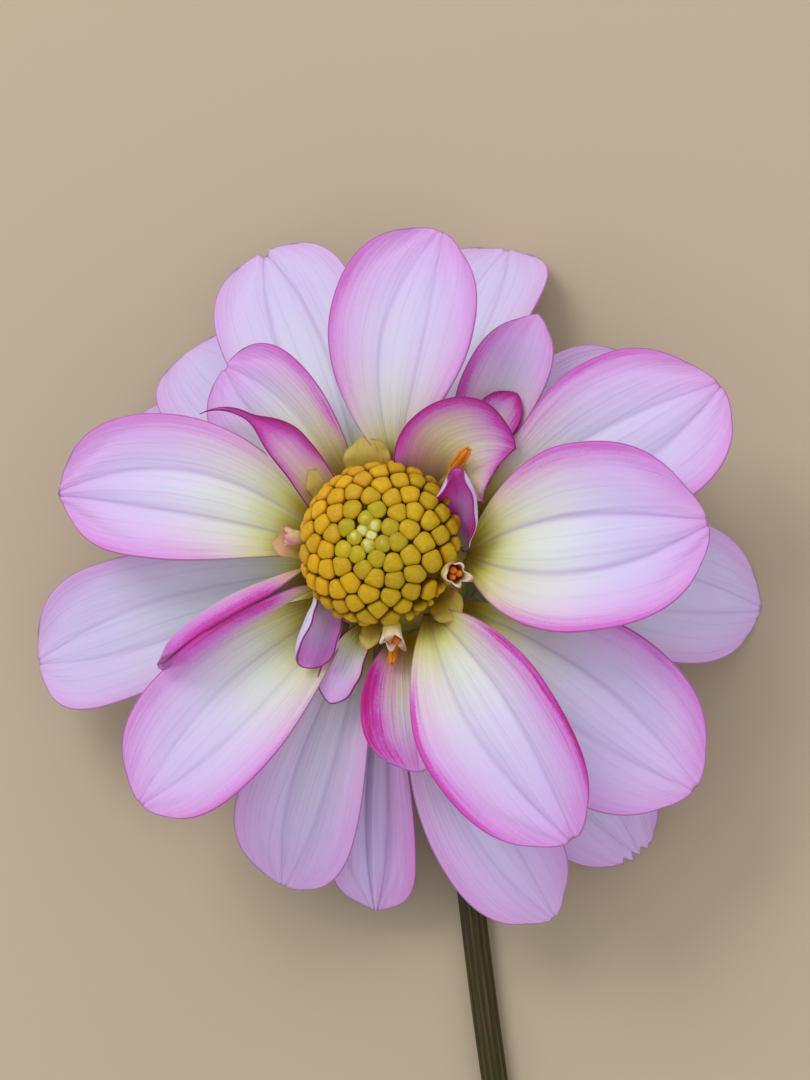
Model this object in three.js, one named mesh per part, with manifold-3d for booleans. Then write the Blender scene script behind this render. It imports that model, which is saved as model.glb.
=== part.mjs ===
// A semi-double dahlia, picked with its stem and lying on its back on a flat surface.
// Millimetres, +Z up. The flower is laid out round its own upright axis, with the flat top
// of the receptacle at z = 0, and the whole group is moved onto the surface at the end.
import * as THREE from 'three';
import { mergeVertices } from 'three/addons/utils/BufferGeometryUtils.js';
import Module from 'manifold-3d';

const wasm = await Module();
wasm.setup();

// ---- driving dimensions ----
const FLOOR = -24.5;         // the surface, below the receptacle's flat top
const BLADE = 0.6;           // thickness of petals, bracts and scales
const SEAT_GAP = 0.55;       // from the rim's skin to the middle of a petal's claw

const rim = { radius: 8, round: 4, height: -4, sides: 20 };   // receptacle's rounded edge
const neck = { radius: 3.2, shoulder: 3.8, top: -8.2, bottom: -9.8 };   // joins the stem

// The stem drops straight, turns over and then lies along the surface: its line is given as
// distance from the flower's axis and sway to the side of the bearing.
const stem = {
  radius: 1.85, rib: 0.14, ribs: 6, steps: 36, drop: 0.9, sunk: 0.3, bearing: -80,
  line: [[24, -0.2], [45, -0.4], [75, 0], [105, 1.5], [150, 5]],
};

// The disc is half an egg set with unopened florets. The core lies under their roots.
const disc = {
  radius: 10.5, height: 5.4, centre: 5.3, florets: 74, sweep: 122, crowd: 0.62, crown: 0.94,
  inset: 0.35, foot: 7.6, bottom: 0.3, sides: 12, coreSweep: 125, coreStep: 25,
};
// a bud's half outline, in shares of its width, from its sunk root to its blunt top
const BUD = { outline: [[0, -0.6], [0.5, 0.05], [0.44, 0.42], [0, 0.6]], sides: 5 };
const BUD_ROOM = 0.8;        // buds nearer than this share of their width to an open floret go

// Every petal is a blade on a curved midrib. Angles are degrees, sizes millimetres.
//   az, tipAz        bearing of the root, and of the tip where it differs
//   reach            how far the tip is from the axis; length replaces it on small petals
//   seat             place of the root round the rim's rounding, 90 at its top
//   rise, tip        slope of the midrib at the root and at the tip
//   veer             how far the midrib bends sideways
//   width, widest    the greatest width, and how far along it is
//   shoulder, point  how slowly it widens from the claw, and how blunt its end is
//   notch, claw      depth of the nick in the tip, and half width of the root
//   base, cup, end   slope of the margins against the middle at root, half way and tip
//   lean             roll about the midrib
//   gap              replaces SEAT_GAP
const PLAIN = {
  seat: 40, rise: 40, tip: 0, veer: 0, width: 26, widest: 0.6, shoulder: 1.35, point: 0.68,
  notch: 0, claw: 1.3, cup: 30, base: 55, end: 30, lean: 0, gap: SEAT_GAP,
};
const PETALS = [
  // lowest layer, behind all the others
  { name: 'ray_back_01', az: 118, tipAz: 119, reach: 59.5, seat: -10, rise: 5, tip: -24,
    width: 24, notch: 1.5, lean: 8 },
  { name: 'ray_back_02', az: 79, tipAz: 80.5, reach: 54.5, seat: -25, rise: 2, tip: -38,
    width: 20.5, widest: 0.72, notch: 0.8 },
  { name: 'ray_back_03', az: 45, reach: 46, seat: -20, rise: 5, tip: -25, width: 16 },
  { name: 'ray_back_04', az: -6, tipAz: -4, reach: 51, seat: -25, rise: 2, tip: -40, width: 23 },
  { name: 'ray_back_05', az: -49, tipAz: -50, reach: 54.5, seat: -30, rise: 0, tip: -30,
    width: 21, notch: 1 },
  { name: 'ray_back_06', az: -72, tipAz: -65, reach: 57, seat: -10, rise: 5, tip: -22,
    width: 18, veer: 30, widest: 0.7, point: 0.85 },
  { name: 'ray_back_07', az: -95, reach: 51, seat: -30, rise: 0, tip: -28, width: 14, widest: 0.8 },
  { name: 'ray_back_08', az: -111, tipAz: -110.5, reach: 51.5, seat: -10, rise: 5, tip: -25,
    width: 20.5, widest: 0.7 },
  { name: 'ray_back_09', az: -166, reach: 62, seat: -10, rise: 5, tip: -18, width: 23,
    widest: 0.7, notch: 1 },
  { name: 'ray_back_10', az: 157, reach: 60, seat: -34, rise: -6, tip: -28, width: 22, lean: 16 },
  { name: 'ray_back_11', az: 139, reach: 56, seat: -22, rise: 2, tip: -30, width: 22, lean: 14 },
  // middle layer
  { name: 'ray_mid_01', az: 24, tipAz: 28, reach: 54, seat: 15, rise: 25, tip: -12,
    width: 27, veer: 25 },
  { name: 'ray_mid_02', az: -36, reach: 57, seat: 10, rise: 20, tip: -12, width: 26 },
  { name: 'ray_mid_03', az: -132.5, reach: 52.5, seat: 14, rise: 23, tip: -4, width: 23.5,
    widest: 0.62 },
  { name: 'ray_mid_04', az: 168, tipAz: 171, reach: 52.5, seat: 22, rise: 30, tip: -5,
    width: 22, widest: 0.55, veer: 35, lean: -2 },
  { name: 'ray_mid_05', az: 53, tipAz: 60, reach: 41.2, seat: 4, rise: 21, tip: 0, width: 13,
    veer: 14, point: 0.8 },
  // top layer
  { name: 'ray_front_01', az: 86, tipAz: 80, reach: 46.4, seat: 42, rise: 42, tip: 5,
    width: 22, widest: 0.62, veer: -28 },
  { name: 'ray_front_02', az: -1, tipAz: 4, reach: 48.2, seat: 38, rise: 42, tip: -8,
    width: 29.5, widest: 0.52, shoulder: 1.1, cup: 40, veer: 22 },
  { name: 'ray_front_03', az: -53, reach: 52.2, seat: 45, rise: 40, tip: -8, width: 22.5,
    widest: 0.55, shoulder: 1.2, cup: 40, lean: 15 },
  { name: 'ray_front_04', az: 133, tipAz: 138, reach: 37.8, seat: 17, rise: 26, tip: 0,
    lean: -12, width: 17.5, widest: 0.55, shoulder: 0.75, veer: 10 },
  { name: 'ray_front_05', az: -76, tipAz: -78, reach: 32.5, seat: 26, rise: 22, tip: 4,
    width: 16, lean: -10, shoulder: 0.9, cup: 45 },
  // folded and half-turned petals next to the disc
  { name: 'ray_fold_01', az: 141, tipAz: 145, reach: 34.8, seat: 55, rise: 40, tip: 2,
    width: 11, widest: 0.5, shoulder: 1.1, point: 0.9, cup: 70, base: 75, end: 30, veer: 58, lean: 6 },
  { name: 'ray_fold_02', az: -158, tipAz: -150, reach: 37.5, seat: 56, rise: 38, tip: 2,
    width: 11, widest: 0.55, shoulder: 0.8, point: 0.9, cup: 100, base: 80, end: 70, veer: 20 },
  { name: 'ray_hood_01', az: 52.5, reach: 26, seat: 38, rise: 25, tip: 55, width: 19,
    widest: 0.55, shoulder: 1, cup: 72, base: 60, end: 60 },
  { name: 'ray_small_01', az: 48, tipAz: 53, reach: 28.5, seat: 21, rise: 34, tip: 5,
    width: 7, widest: 0.7 },
  // half-formed petals that stand at the disc's edge
  { name: 'petaloid_01', az: 23.5, length: 13, seat: 52, rise: 12, tip: 122, width: 6,
    cup: 25, base: 30, end: 25, claw: 0.9 },
  { name: 'petaloid_02', az: -134, tipAz: -99, length: 11.5, seat: 46.5, rise: 44, tip: 0,
    width: 8, cup: 80, end: 60, shoulder: 0.8 },
  { name: 'petaloid_03', az: -107, tipAz: -109, length: 12.5, seat: 34, rise: 21, tip: 5,
    width: 6.2, shoulder: 0.8 },
];

// the chaffy scales that stand between the disc and the petals
const SCALE = {
  seat: 62, rise: 42, tip: 25, widest: 0.55, shoulder: 0.8, point: 0.9, claw: 1, cup: 35,
  base: 35, end: 20,
};
const SCALES = [
  { name: 'scale_01', az: 179, length: 7, width: 4.6 },
  { name: 'scale_02', az: 109, length: 6, width: 4.4 },
  { name: 'scale_03', az: -31, length: 6, width: 3.6 },
  { name: 'scale_04', az: 46, length: 8, width: 3, seat: 65, rise: 38 },
  { name: 'scale_05', az: -96, length: 6, width: 3.4 },
];

// florets that have opened; polar is the angle from the disc's apex
const OPEN_FLORETS = [
  { name: 'open_floret_01', az: -22, polar: 86 },
  { name: 'open_floret_02', az: -79, polar: 108 },
];
const OPEN_SHAPE = { base: 0.1, top: 3.8, wall: 0.6, tube: 0.95, mouth: 1.8, sides: 10 };

// two rings below the petals: broad papery bracts, and narrow green ones that hang down
const PAPERY_BRACTS = {
  count: 8, start: 5, seat: -47, rise: -12, tip: -24, length: 15, width: 12, widest: 0.5,
  claw: 5.2, cup: 12, base: 5, end: 15, gap: 1,
};
const GREEN_BRACTS = {
  count: 6, start: -50, seat: -78, rise: -42, tip: -70, length: 15, width: 6.5, claw: 1.8,
  cup: 15, base: 20, end: 20, gap: -0.9,
};

// ---- how finely a blade is worked out ----
const RIB_STEPS = 120;       // steps along a midrib
const ACROSS_STEPS = 12;     // steps from the midrib to a margin
const LEAN_DONE = 0.35;      // a lean is complete this far along
const CAP = 0.42;            // share of the width at which the rounded end takes over
const END_POWER = 2.3;       // fullness of the rounded end
const END_PULL = 1.5;        // how late the rows bend to follow the end
const NICK_WIDTH = 0.16;     // half width of the nick in a tip, in half widths
const PETAL_GRID = { rows: 9, columns: 6 };
const SMALL_GRID = { rows: 7, columns: 6 };
const GREEN_GRID = { rows: 6, columns: 4 };
const SCALE_GRID = { rows: 4, columns: 4 };
const SMALL_REACH = 30;      // petals shorter than this take the small grid

const rad = THREE.MathUtils.degToRad;
const ease = (x) => THREE.MathUtils.smoothstep(x, 0, 1);
const onCircle = (radius, angle, z) => (
  new THREE.Vector3(radius * Math.cos(angle), radius * Math.sin(angle), z)
);
const heading = (slope, bearing) => onCircle(Math.cos(slope), bearing, Math.sin(slope));

// ---- petals ----

// The midrib: a curve whose slope and bearing are formulas of the fraction k along it.
// Its length (or reach) and its starting bearing are worked out so that the tip lands
// where the petal's own numbers say.
function midrib(p) {
  const offset = rim.round + p.gap;
  const seat = rad(p.seat);
  const rootRadius = rim.radius + offset * Math.cos(seat);
  const root = onCircle(rootRadius, rad(p.az), rim.height + offset * Math.sin(seat));
  const tipBearing = rad(p.tipAz ?? p.az);
  const slope = (k) => rad(p.rise + (p.tip - p.rise) * (1 - (1 - k) ** 2));
  const swing = (k) => rad(p.veer) * (k - 0.5);
  const chord = new THREE.Vector3();
  for (let i = 0; i < RIB_STEPS; i += 1) {
    const k = (i + 0.5) / RIB_STEPS;
    chord.addScaledVector(heading(slope(k), swing(k)), 1 / RIB_STEPS);
  }
  const toTip = onCircle(p.reach ?? 0, tipBearing, 0).sub(root);
  const length = p.length ?? Math.hypot(toTip.x, toTip.y) / Math.hypot(chord.x, chord.y);
  const toTipBearing = Math.atan2(toTip.y, toTip.x) - Math.atan2(chord.y, chord.x);
  const turn = p.length ? tipBearing : toTipBearing;
  const points = [root];
  for (let i = 0; i < RIB_STEPS; i += 1) {
    const k = (i + 0.5) / RIB_STEPS;
    const step = heading(slope(k), swing(k) + turn).multiplyScalar(length / RIB_STEPS);
    points.push(points[i].clone().add(step));
  }
  // place, left side and upper side of the blade at fraction k
  const frameAt = (k) => {
    const i = Math.min(Math.floor(k * RIB_STEPS), RIB_STEPS - 1);
    const point = points[i].clone().lerp(points[i + 1], k * RIB_STEPS - i);
    const bearing = swing(k) + turn;
    const up = heading(slope(k) + Math.PI / 2, bearing);
    const side = up.clone().cross(heading(slope(k), bearing));
    const roll = rad(p.lean) * ease(k / LEAN_DONE);
    const left = side.clone().multiplyScalar(Math.cos(roll)).addScaledVector(up, Math.sin(roll));
    const normal = up.multiplyScalar(Math.cos(roll)).addScaledVector(side, -Math.sin(roll));
    return { point, left, normal };
  };
  return { length, frameAt };
}

// The blade's middle surface at t from claw to tip and s from right (-1) to left (+1) margin.
// The half width grows as a power of a sine up to the widest place and then closes as a
// superellipse, whose end the last rows follow. Across, the slope grows evenly from the
// midrib to the margin, so that a section is an arc.
function bladePoint(p, rib, t, s) {
  const end = THREE.MathUtils.clamp((t - p.widest) / (1 - p.widest), 0, 1);
  const sideEnd = (1 - CAP ** (1 / p.point)) ** (1 / END_POWER);
  const nick = (p.notch / (rib.length * (1 - p.widest))) * Math.exp(-((s / NICK_WIDTH) ** 2));
  const capReach = (1 - (CAP * Math.abs(s)) ** (1 / p.point)) ** (1 / END_POWER) - nick;
  const spread = Math.sin((Math.PI / 2) * Math.min(t / p.widest, 1)) ** p.shoulder;
  const closing = (p.width / 2) * (1 - (end * sideEnd) ** END_POWER) ** p.point;
  const half = t < p.widest ? p.claw + (p.width / 2 - p.claw) * spread : closing;
  const pulled = 1 - (1 - capReach) * end ** END_PULL;
  const k = t < p.widest ? t : p.widest + (1 - p.widest) * end * pulled;
  const { point, left, normal } = rib.frameAt(k);

  const margin = p.cup + (p.base - p.cup) * (1 - t) ** 5 + (p.end - p.cup) * t ** 4;
  for (let i = 0; i < ACROSS_STEPS; i += 1) {
    const slope = rad((margin * s * (i + 0.5)) / ACROSS_STEPS);
    point.addScaledVector(left, (half * s * Math.cos(slope)) / ACROSS_STEPS);
    point.addScaledVector(normal, (half * s * Math.sin(slope)) / ACROSS_STEPS);
  }
  const slope = rad(margin * s);
  const face = normal.multiplyScalar(Math.cos(slope)).addScaledVector(left, -Math.sin(slope));
  return { point, face };
}

// A blade of even thickness: the middle surface moved half the thickness to each side, both
// faces split into triangles alike, and a band round the edge. Nothing goes below the surface.
function bladeGeometry(spec, { rows, columns }) {
  const p = { ...PLAIN, ...spec };
  const rib = midrib(p);
  const positions = [];
  for (const sign of [-1, 1]) {
    const lowest = sign < 0 ? FLOOR : FLOOR + BLADE;
    for (let i = 0; i <= rows; i += 1) {
      for (let j = 0; j <= columns; j += 1) {
        const { point, face } = bladePoint(p, rib, i / rows, (2 * j) / columns - 1);
        point.addScaledVector(face, (sign * BLADE) / 2);
        positions.push(point.x, point.y, Math.max(point.z, lowest));
      }
    }
  }
  const layer = (rows + 1) * (columns + 1);
  const at = (i, j) => i * (columns + 1) + j;
  const faces = [];
  const quad = (a, b, c, d) => faces.push(a, b, c, a, c, d);
  for (let i = 0; i < rows; i += 1) {
    for (let j = 0; j < columns; j += 1) {
      const [a, b, c, d] = [at(i, j), at(i + 1, j), at(i + 1, j + 1), at(i, j + 1)];
      quad(a + layer, b + layer, c + layer, d + layer);
      faces.push(a, c, b, a, d, c);
    }
  }
  const edge = [];
  for (let j = 0; j < columns; j += 1) edge.push(at(0, j));
  for (let i = 0; i < rows; i += 1) edge.push(at(i, columns));
  for (let j = columns; j > 0; j -= 1) edge.push(at(rows, j));
  for (let i = rows; i > 0; i -= 1) edge.push(at(i, 0));
  edge.forEach((a, n) => {
    const b = edge[(n + 1) % edge.length];
    quad(b, a, a + layer, b + layer);
  });
  const geometry = new THREE.BufferGeometry();
  geometry.setAttribute('position', new THREE.Float32BufferAttribute(positions, 3));
  geometry.setIndex(faces);
  return geometry;
}

// ---- joining ----

function solidOf(geometry) {
  const bare = geometry.clone();
  bare.deleteAttribute('normal');
  bare.deleteAttribute('uv');
  const merged = mergeVertices(bare, 1e-4);
  const corners = merged.index.array;
  const kept = [];
  for (let i = 0; i < corners.length; i += 3) {     // a turned shape's poles have empty triangles
    const [a, b, c] = corners.slice(i, i + 3);
    if (a !== b && b !== c && c !== a) kept.push(a, b, c);
  }
  return new wasm.Manifold(new wasm.Mesh({
    numProp: 3,
    vertProperties: new Float32Array(merged.attributes.position.array),
    triVerts: new Uint32Array(kept),
  }));
}

function geometryOf(solid) {
  const { vertProperties, triVerts } = solid.getMesh();
  const geometry = new THREE.BufferGeometry();
  geometry.setAttribute('position', new THREE.BufferAttribute(vertProperties, 3));
  geometry.setIndex(new THREE.BufferAttribute(triVerts, 1));
  return geometry;
}

function joined(geometries) {
  const solids = geometries.map(solidOf);
  return geometryOf(solids.reduce((all, one) => all.add(one)));
}

const lathe = (outline, sides) => {
  const points = outline.map(([r, z]) => new THREE.Vector2(r, z));
  return new THREE.LatheGeometry(points, sides).rotateX(Math.PI / 2);
};

// ---- the disc: unopened florets crowded on a dome ----

// a place on the dome, shrunk by inset; polar is the angle from its apex
const domePoint = (polar, az, inset = 0) => onCircle(
  (disc.radius - inset) * Math.sin(polar),
  az,
  disc.centre + (disc.height - inset) * Math.cos(polar),
);

// Stands a shape that points up along its own Z square on the dome.
function onDome(geometry, polar, az) {
  const outward = new THREE.Vector3(Math.sin(polar) / disc.radius, 0, Math.cos(polar) / disc.height);
  const upright = new THREE.Vector3(0, 0, 1);
  const tilt = new THREE.Quaternion().setFromUnitVectors(upright, outward.normalize());
  const place = domePoint(polar, 0);
  return geometry.applyQuaternion(tilt).translate(place.x, place.y, place.z).rotateZ(az);
}

function coreGeometry() {
  const outline = [[0, disc.bottom], [disc.foot, disc.bottom]];
  for (let polar = disc.coreSweep; polar > 0; polar -= disc.coreStep) {
    const place = domePoint(rad(polar), 0, disc.inset);
    outline.push([place.x, place.z]);
  }
  outline.push([0, domePoint(0, 0, disc.inset).z]);
  return lathe(outline, disc.sides);
}

// Florets are set out from the apex by the golden angle. The floret at a given share of the
// count lies at that share to the power crowd of the sweep, and is as wide as its room.
function discGeometry() {
  const golden = Math.PI * (3 - Math.sqrt(5));
  const openPlaces = OPEN_FLORETS.map((one) => domePoint(rad(one.polar), rad(one.az)));
  const parts = [coreGeometry()];
  for (let i = 0; i < disc.florets; i += 1) {
    const share = (i + 0.5) / disc.florets;
    const polar = rad(disc.sweep) * share ** disc.crowd;
    const pace = (rad(disc.sweep) * disc.crowd * share ** (disc.crowd - 1)) / disc.florets;
    const width = disc.crown * disc.radius * Math.sqrt(2 * Math.PI * Math.sin(polar) * pace);
    const place = domePoint(polar, i * golden);
    const clear = openPlaces.every((open) => open.distanceTo(place) > width * BUD_ROOM);
    const bud = lathe(BUD.outline.map(([r, z]) => [r * width, z * width]), BUD.sides);
    if (clear) parts.push(onDome(bud, polar, i * golden));
  }
  return joined(parts);
}

// An opened floret: a narrow tube with a flared mouth, standing where a bud would be.
function openFloret(spec) {
  const { base, top, wall, tube, mouth, sides } = OPEN_SHAPE;
  const outline = [
    [0, base], [tube, base], [tube * 0.9, top * 0.45], [mouth * 0.75, top * 0.75],
    [mouth, top], [mouth - wall * 0.7, top + wall * 0.2], [mouth * 0.75 - wall, top * 0.8],
    [tube * 0.35, top * 0.55], [0, top * 0.5],
  ];
  return onDome(lathe(outline, sides), rad(spec.polar), rad(spec.az));
}

// ---- below the petals ----

function receptacleGeometry() {
  const outline = [[0, neck.bottom], [neck.radius, neck.bottom], [neck.shoulder, neck.top]];
  for (let angle = -75; angle <= 90; angle += 27.5) {
    const a = rad(angle);
    const radius = rim.radius + rim.round * Math.cos(a);
    outline.push([radius, rim.height + rim.round * Math.sin(a)]);
  }
  outline.push([0, rim.height + rim.round]);
  return lathe(outline, rim.sides);
}

// The stem leaves the neck straight down, turns over and lies along the surface, with its
// ribs pressed flat where it touches.
function stemGeometry() {
  const bearing = rad(stem.bearing);
  const start = neck.bottom - stem.sunk;
  const low = FLOOR + stem.radius;
  const bend = start - stem.drop - low;
  const points = [onCircle(0, 0, start), onCircle(0, 0, start - stem.drop)];
  for (let angle = 15; angle <= 90; angle += 15) {
    const a = rad(angle);
    const height = start - stem.drop - bend * Math.sin(a);
    points.push(onCircle(bend * (1 - Math.cos(a)), bearing, height));
  }
  for (const [distance, sway] of stem.line) {
    const sideways = onCircle(sway, bearing + Math.PI / 2, 0);
    points.push(onCircle(distance, bearing, low).add(sideways));
  }
  const path = new THREE.CatmullRomCurve3(points, false, 'centripetal');
  const corners = Array.from({ length: 2 * stem.ribs }, (_, i) => (
    onCircle(stem.radius + (i % 2 ? 0 : stem.rib), (Math.PI * i) / stem.ribs, 0)
  ));
  const section = new THREE.Shape(corners.map(({ x, y }) => new THREE.Vector2(x, y)));
  const options = { steps: stem.steps, extrudePath: path };
  const geometry = new THREE.ExtrudeGeometry(section, options);
  const { position } = geometry.attributes;
  for (let i = 0; i < position.count; i += 1) {
    position.setZ(i, Math.max(position.getZ(i), FLOOR));
  }
  return geometry;
}

const bractGeometries = (spec, grid) => Array.from({ length: spec.count }, (_, i) => (
  bladeGeometry({ ...spec, az: spec.start + (360 * i) / spec.count }, grid)
));

// ---- the flower ----

const material = (color, roughness) => (
  new THREE.MeshStandardMaterial({ color, roughness, metalness: 0 })
);
const petalFace = material(0xdcc3ea, 0.55);
const petalDeep = material(0xc05fb4, 0.55);
const floretYellow = material(0xb9a21c, 0.6);
const floretWhite = material(0xe9e0d2, 0.55);
const scaleYellow = material(0xd9c873, 0.55);
const bractGreen = material(0x5c7a34, 0.65);
const bractPapery = material(0xa9ad6a, 0.6);
const stemGreen = material(0x4a4a2a, 0.7);

const flower = new THREE.Group();
function add(name, geometry, finish) {
  const mesh = new THREE.Mesh(geometry, finish);
  mesh.name = name;
  flower.add(mesh);
}

for (const petal of PETALS) {
  const small = (petal.length ?? petal.reach) < SMALL_REACH;
  const geometry = bladeGeometry(petal, small ? SMALL_GRID : PETAL_GRID);
  add(petal.name, geometry, small ? petalDeep : petalFace);
}
for (const scale of SCALES) {
  add(scale.name, bladeGeometry({ ...SCALE, ...scale }, SCALE_GRID), scaleYellow);
}
for (const floret of OPEN_FLORETS) {
  add(floret.name, openFloret(floret), floretWhite);
}
add('disc_florets', discGeometry(), floretYellow);
const greenBracts = bractGeometries(GREEN_BRACTS, GREEN_GRID);
add('receptacle_and_green_bracts', joined([receptacleGeometry(), ...greenBracts]), bractGreen);
add('papery_bracts', joined(bractGeometries(PAPERY_BRACTS, SCALE_GRID)), bractPapery);
add('stem', stemGeometry(), stemGreen);

// stand the group on the surface, centred on its own box
const box = new THREE.Box3().setFromObject(flower);
const middle = box.getCenter(new THREE.Vector3());
flower.position.set(-middle.x, -middle.y, -box.min.z);

export default flower;
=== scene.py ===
# A semi-double dahlia lying on its back: fine petals, disc florets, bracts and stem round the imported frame.
import bpy
import numpy as np
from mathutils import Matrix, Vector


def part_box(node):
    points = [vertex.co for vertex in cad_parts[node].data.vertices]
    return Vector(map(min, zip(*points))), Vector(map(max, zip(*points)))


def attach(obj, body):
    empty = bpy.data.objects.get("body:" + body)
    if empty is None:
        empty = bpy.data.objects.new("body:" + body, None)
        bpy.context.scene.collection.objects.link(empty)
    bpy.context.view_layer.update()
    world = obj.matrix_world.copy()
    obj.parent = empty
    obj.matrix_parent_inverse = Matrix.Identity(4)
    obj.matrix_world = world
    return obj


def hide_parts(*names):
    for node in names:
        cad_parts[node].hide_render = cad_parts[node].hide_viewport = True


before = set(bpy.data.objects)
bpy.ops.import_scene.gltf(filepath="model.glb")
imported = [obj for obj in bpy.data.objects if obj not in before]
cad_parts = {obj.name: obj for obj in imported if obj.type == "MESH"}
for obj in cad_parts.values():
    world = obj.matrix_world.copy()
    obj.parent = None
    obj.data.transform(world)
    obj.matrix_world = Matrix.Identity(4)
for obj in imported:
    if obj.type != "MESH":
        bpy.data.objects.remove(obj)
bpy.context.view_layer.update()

# The flower is worked out in millimetres round its own axis, from the receptacle's flat top.
millimetre = 0.001
bractLow, bractHigh = (np.array(corner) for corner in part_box("receptacle_and_green_bracts"))
flowerOrigin = np.array([*(bractLow + bractHigh)[:2] / 2, bractHigh[2]])
surface = -flowerOrigin[2] / millimetre    # height of the surface that the flower lies on
golden = np.pi * (3 - np.sqrt(5))          # the golden angle


def inWorld(points):
    # from millimetres round the flower to metres in the frame
    return flowerOrigin + np.asarray(points, float) * millimetre


camera = {
    "towards": (0.277, -0.201, 0.940),    # from the flower to the camera
    "distance": 420,
    "target": (0, 0, 5),
    "shift": (3.625, 0.58),               # right and up from the target to the middle of the view
    "lens": 96.57,
    "nearest": 0.01,                      # metres
}
lights = {
    # direction and distance from the flower, and size, in metres; power in watts
    "key": dict(towards=(-0.45, 0.6, 0.95), distance=0.9, size=0.5, power=2.75, colour=(1.0, 0.99, 0.98)),
    "fill": dict(towards=(0.8, -0.5, 0.9), distance=1.0, size=1.0, power=1.6, colour=(0.96, 0.98, 1.0)),
    "back": dict(towards=(0.2, 1.0, 0.35), distance=1.0, size=0.7, power=1.0, colour=(1.0, 0.98, 0.96)),
}
room = {
    "air": (0.80, 0.81, 0.84), "airStrength": 0.79,
    "floor": (192, 175, 150), "floorShade": 0.97, "floorSize": 12.0,    # metres
}


def unit(vector):
    # the vector, or each row of vectors, over its length
    vector = np.asarray(vector, float)
    return vector / np.linalg.norm(vector, axis=-1, keepdims=True)


def turned(obj, back, up):
    # local Z looks along back and local Y leans to up
    z = unit(back)
    x = unit(np.cross(up, z))
    matrix = np.eye(4)
    matrix[:3, :3] = np.stack([x, np.cross(z, x), z], 1)
    matrix[:3, 3] = obj.location
    obj.matrix_world = matrix.T.tolist()


def addCamera():
    # looks back along towards, its view held level and shifted
    back = unit(camera["towards"])
    right = unit(np.array([1, 0, 0]) - back[0] * back)
    up = np.cross(back, right)
    middle = np.array(camera["target"]) + camera["shift"][0] * right + camera["shift"][1] * up
    data = bpy.data.cameras.new("camera")
    data.lens = camera["lens"]
    data.clip_start = camera["nearest"]
    obj = bpy.data.objects.new("camera", data)
    bpy.context.collection.objects.link(obj)
    obj.location = inWorld(middle + camera["distance"] * back)
    turned(obj, back, up)
    bpy.context.scene.camera = obj


def addLights():
    # disc lights turned to the flower, and an even, pale air round it
    for name, light in lights.items():
        data = bpy.data.lights.new(name, "AREA")
        data.shape = "DISK"
        data.size = light["size"]
        data.energy = light["power"]
        data.color = light["colour"]
        obj = bpy.data.objects.new(name, data)
        bpy.context.collection.objects.link(obj)
        towards = unit(light["towards"])
        obj.location = flowerOrigin + towards * light["distance"]
        turned(obj, towards, (0, 1, 0.01))
    world = bpy.data.worlds.new("air")
    world.use_nodes = True
    background = world.node_tree.nodes["Background"]
    background.inputs["Color"].default_value = (*room["air"], 1)
    background.inputs["Strength"].default_value = room["airStrength"]
    bpy.context.scene.world = world
    bpy.context.scene.view_settings.view_transform = "Standard"


def paint(red, green, blue):
    # a colour given as 0 to 255 on a screen, in linear light
    screen = np.array([red, green, blue]) / 255
    linear = np.where(screen <= 0.04045, screen / 12.92, ((screen + 0.055) / 1.055) ** 2.4)
    return (*linear.tolist(), 1.0)


def mathWith(operation):
    # an operator that adds a Math node
    def combine(value, other):
        return value.math(operation, other)
    return combine


class Value:
    # a socket; arithmetic on it adds Math nodes to its material
    def __init__(self, finish, socket):
        self.finish, self.socket = finish, socket

    def math(self, operation, *others):
        inputs = {i: other for i, other in enumerate((self, *others))}
        return self.finish.node("ShaderNodeMath", {"operation": operation}, inputs)

    __add__ = __radd__ = mathWith("ADD")
    __mul__ = __rmul__ = mathWith("MULTIPLY")
    __sub__ = mathWith("SUBTRACT")
    __truediv__ = mathWith("DIVIDE")
    __pow__ = mathWith("POWER")

    def __rsub__(self, other):
        return self * -1 + other


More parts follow.
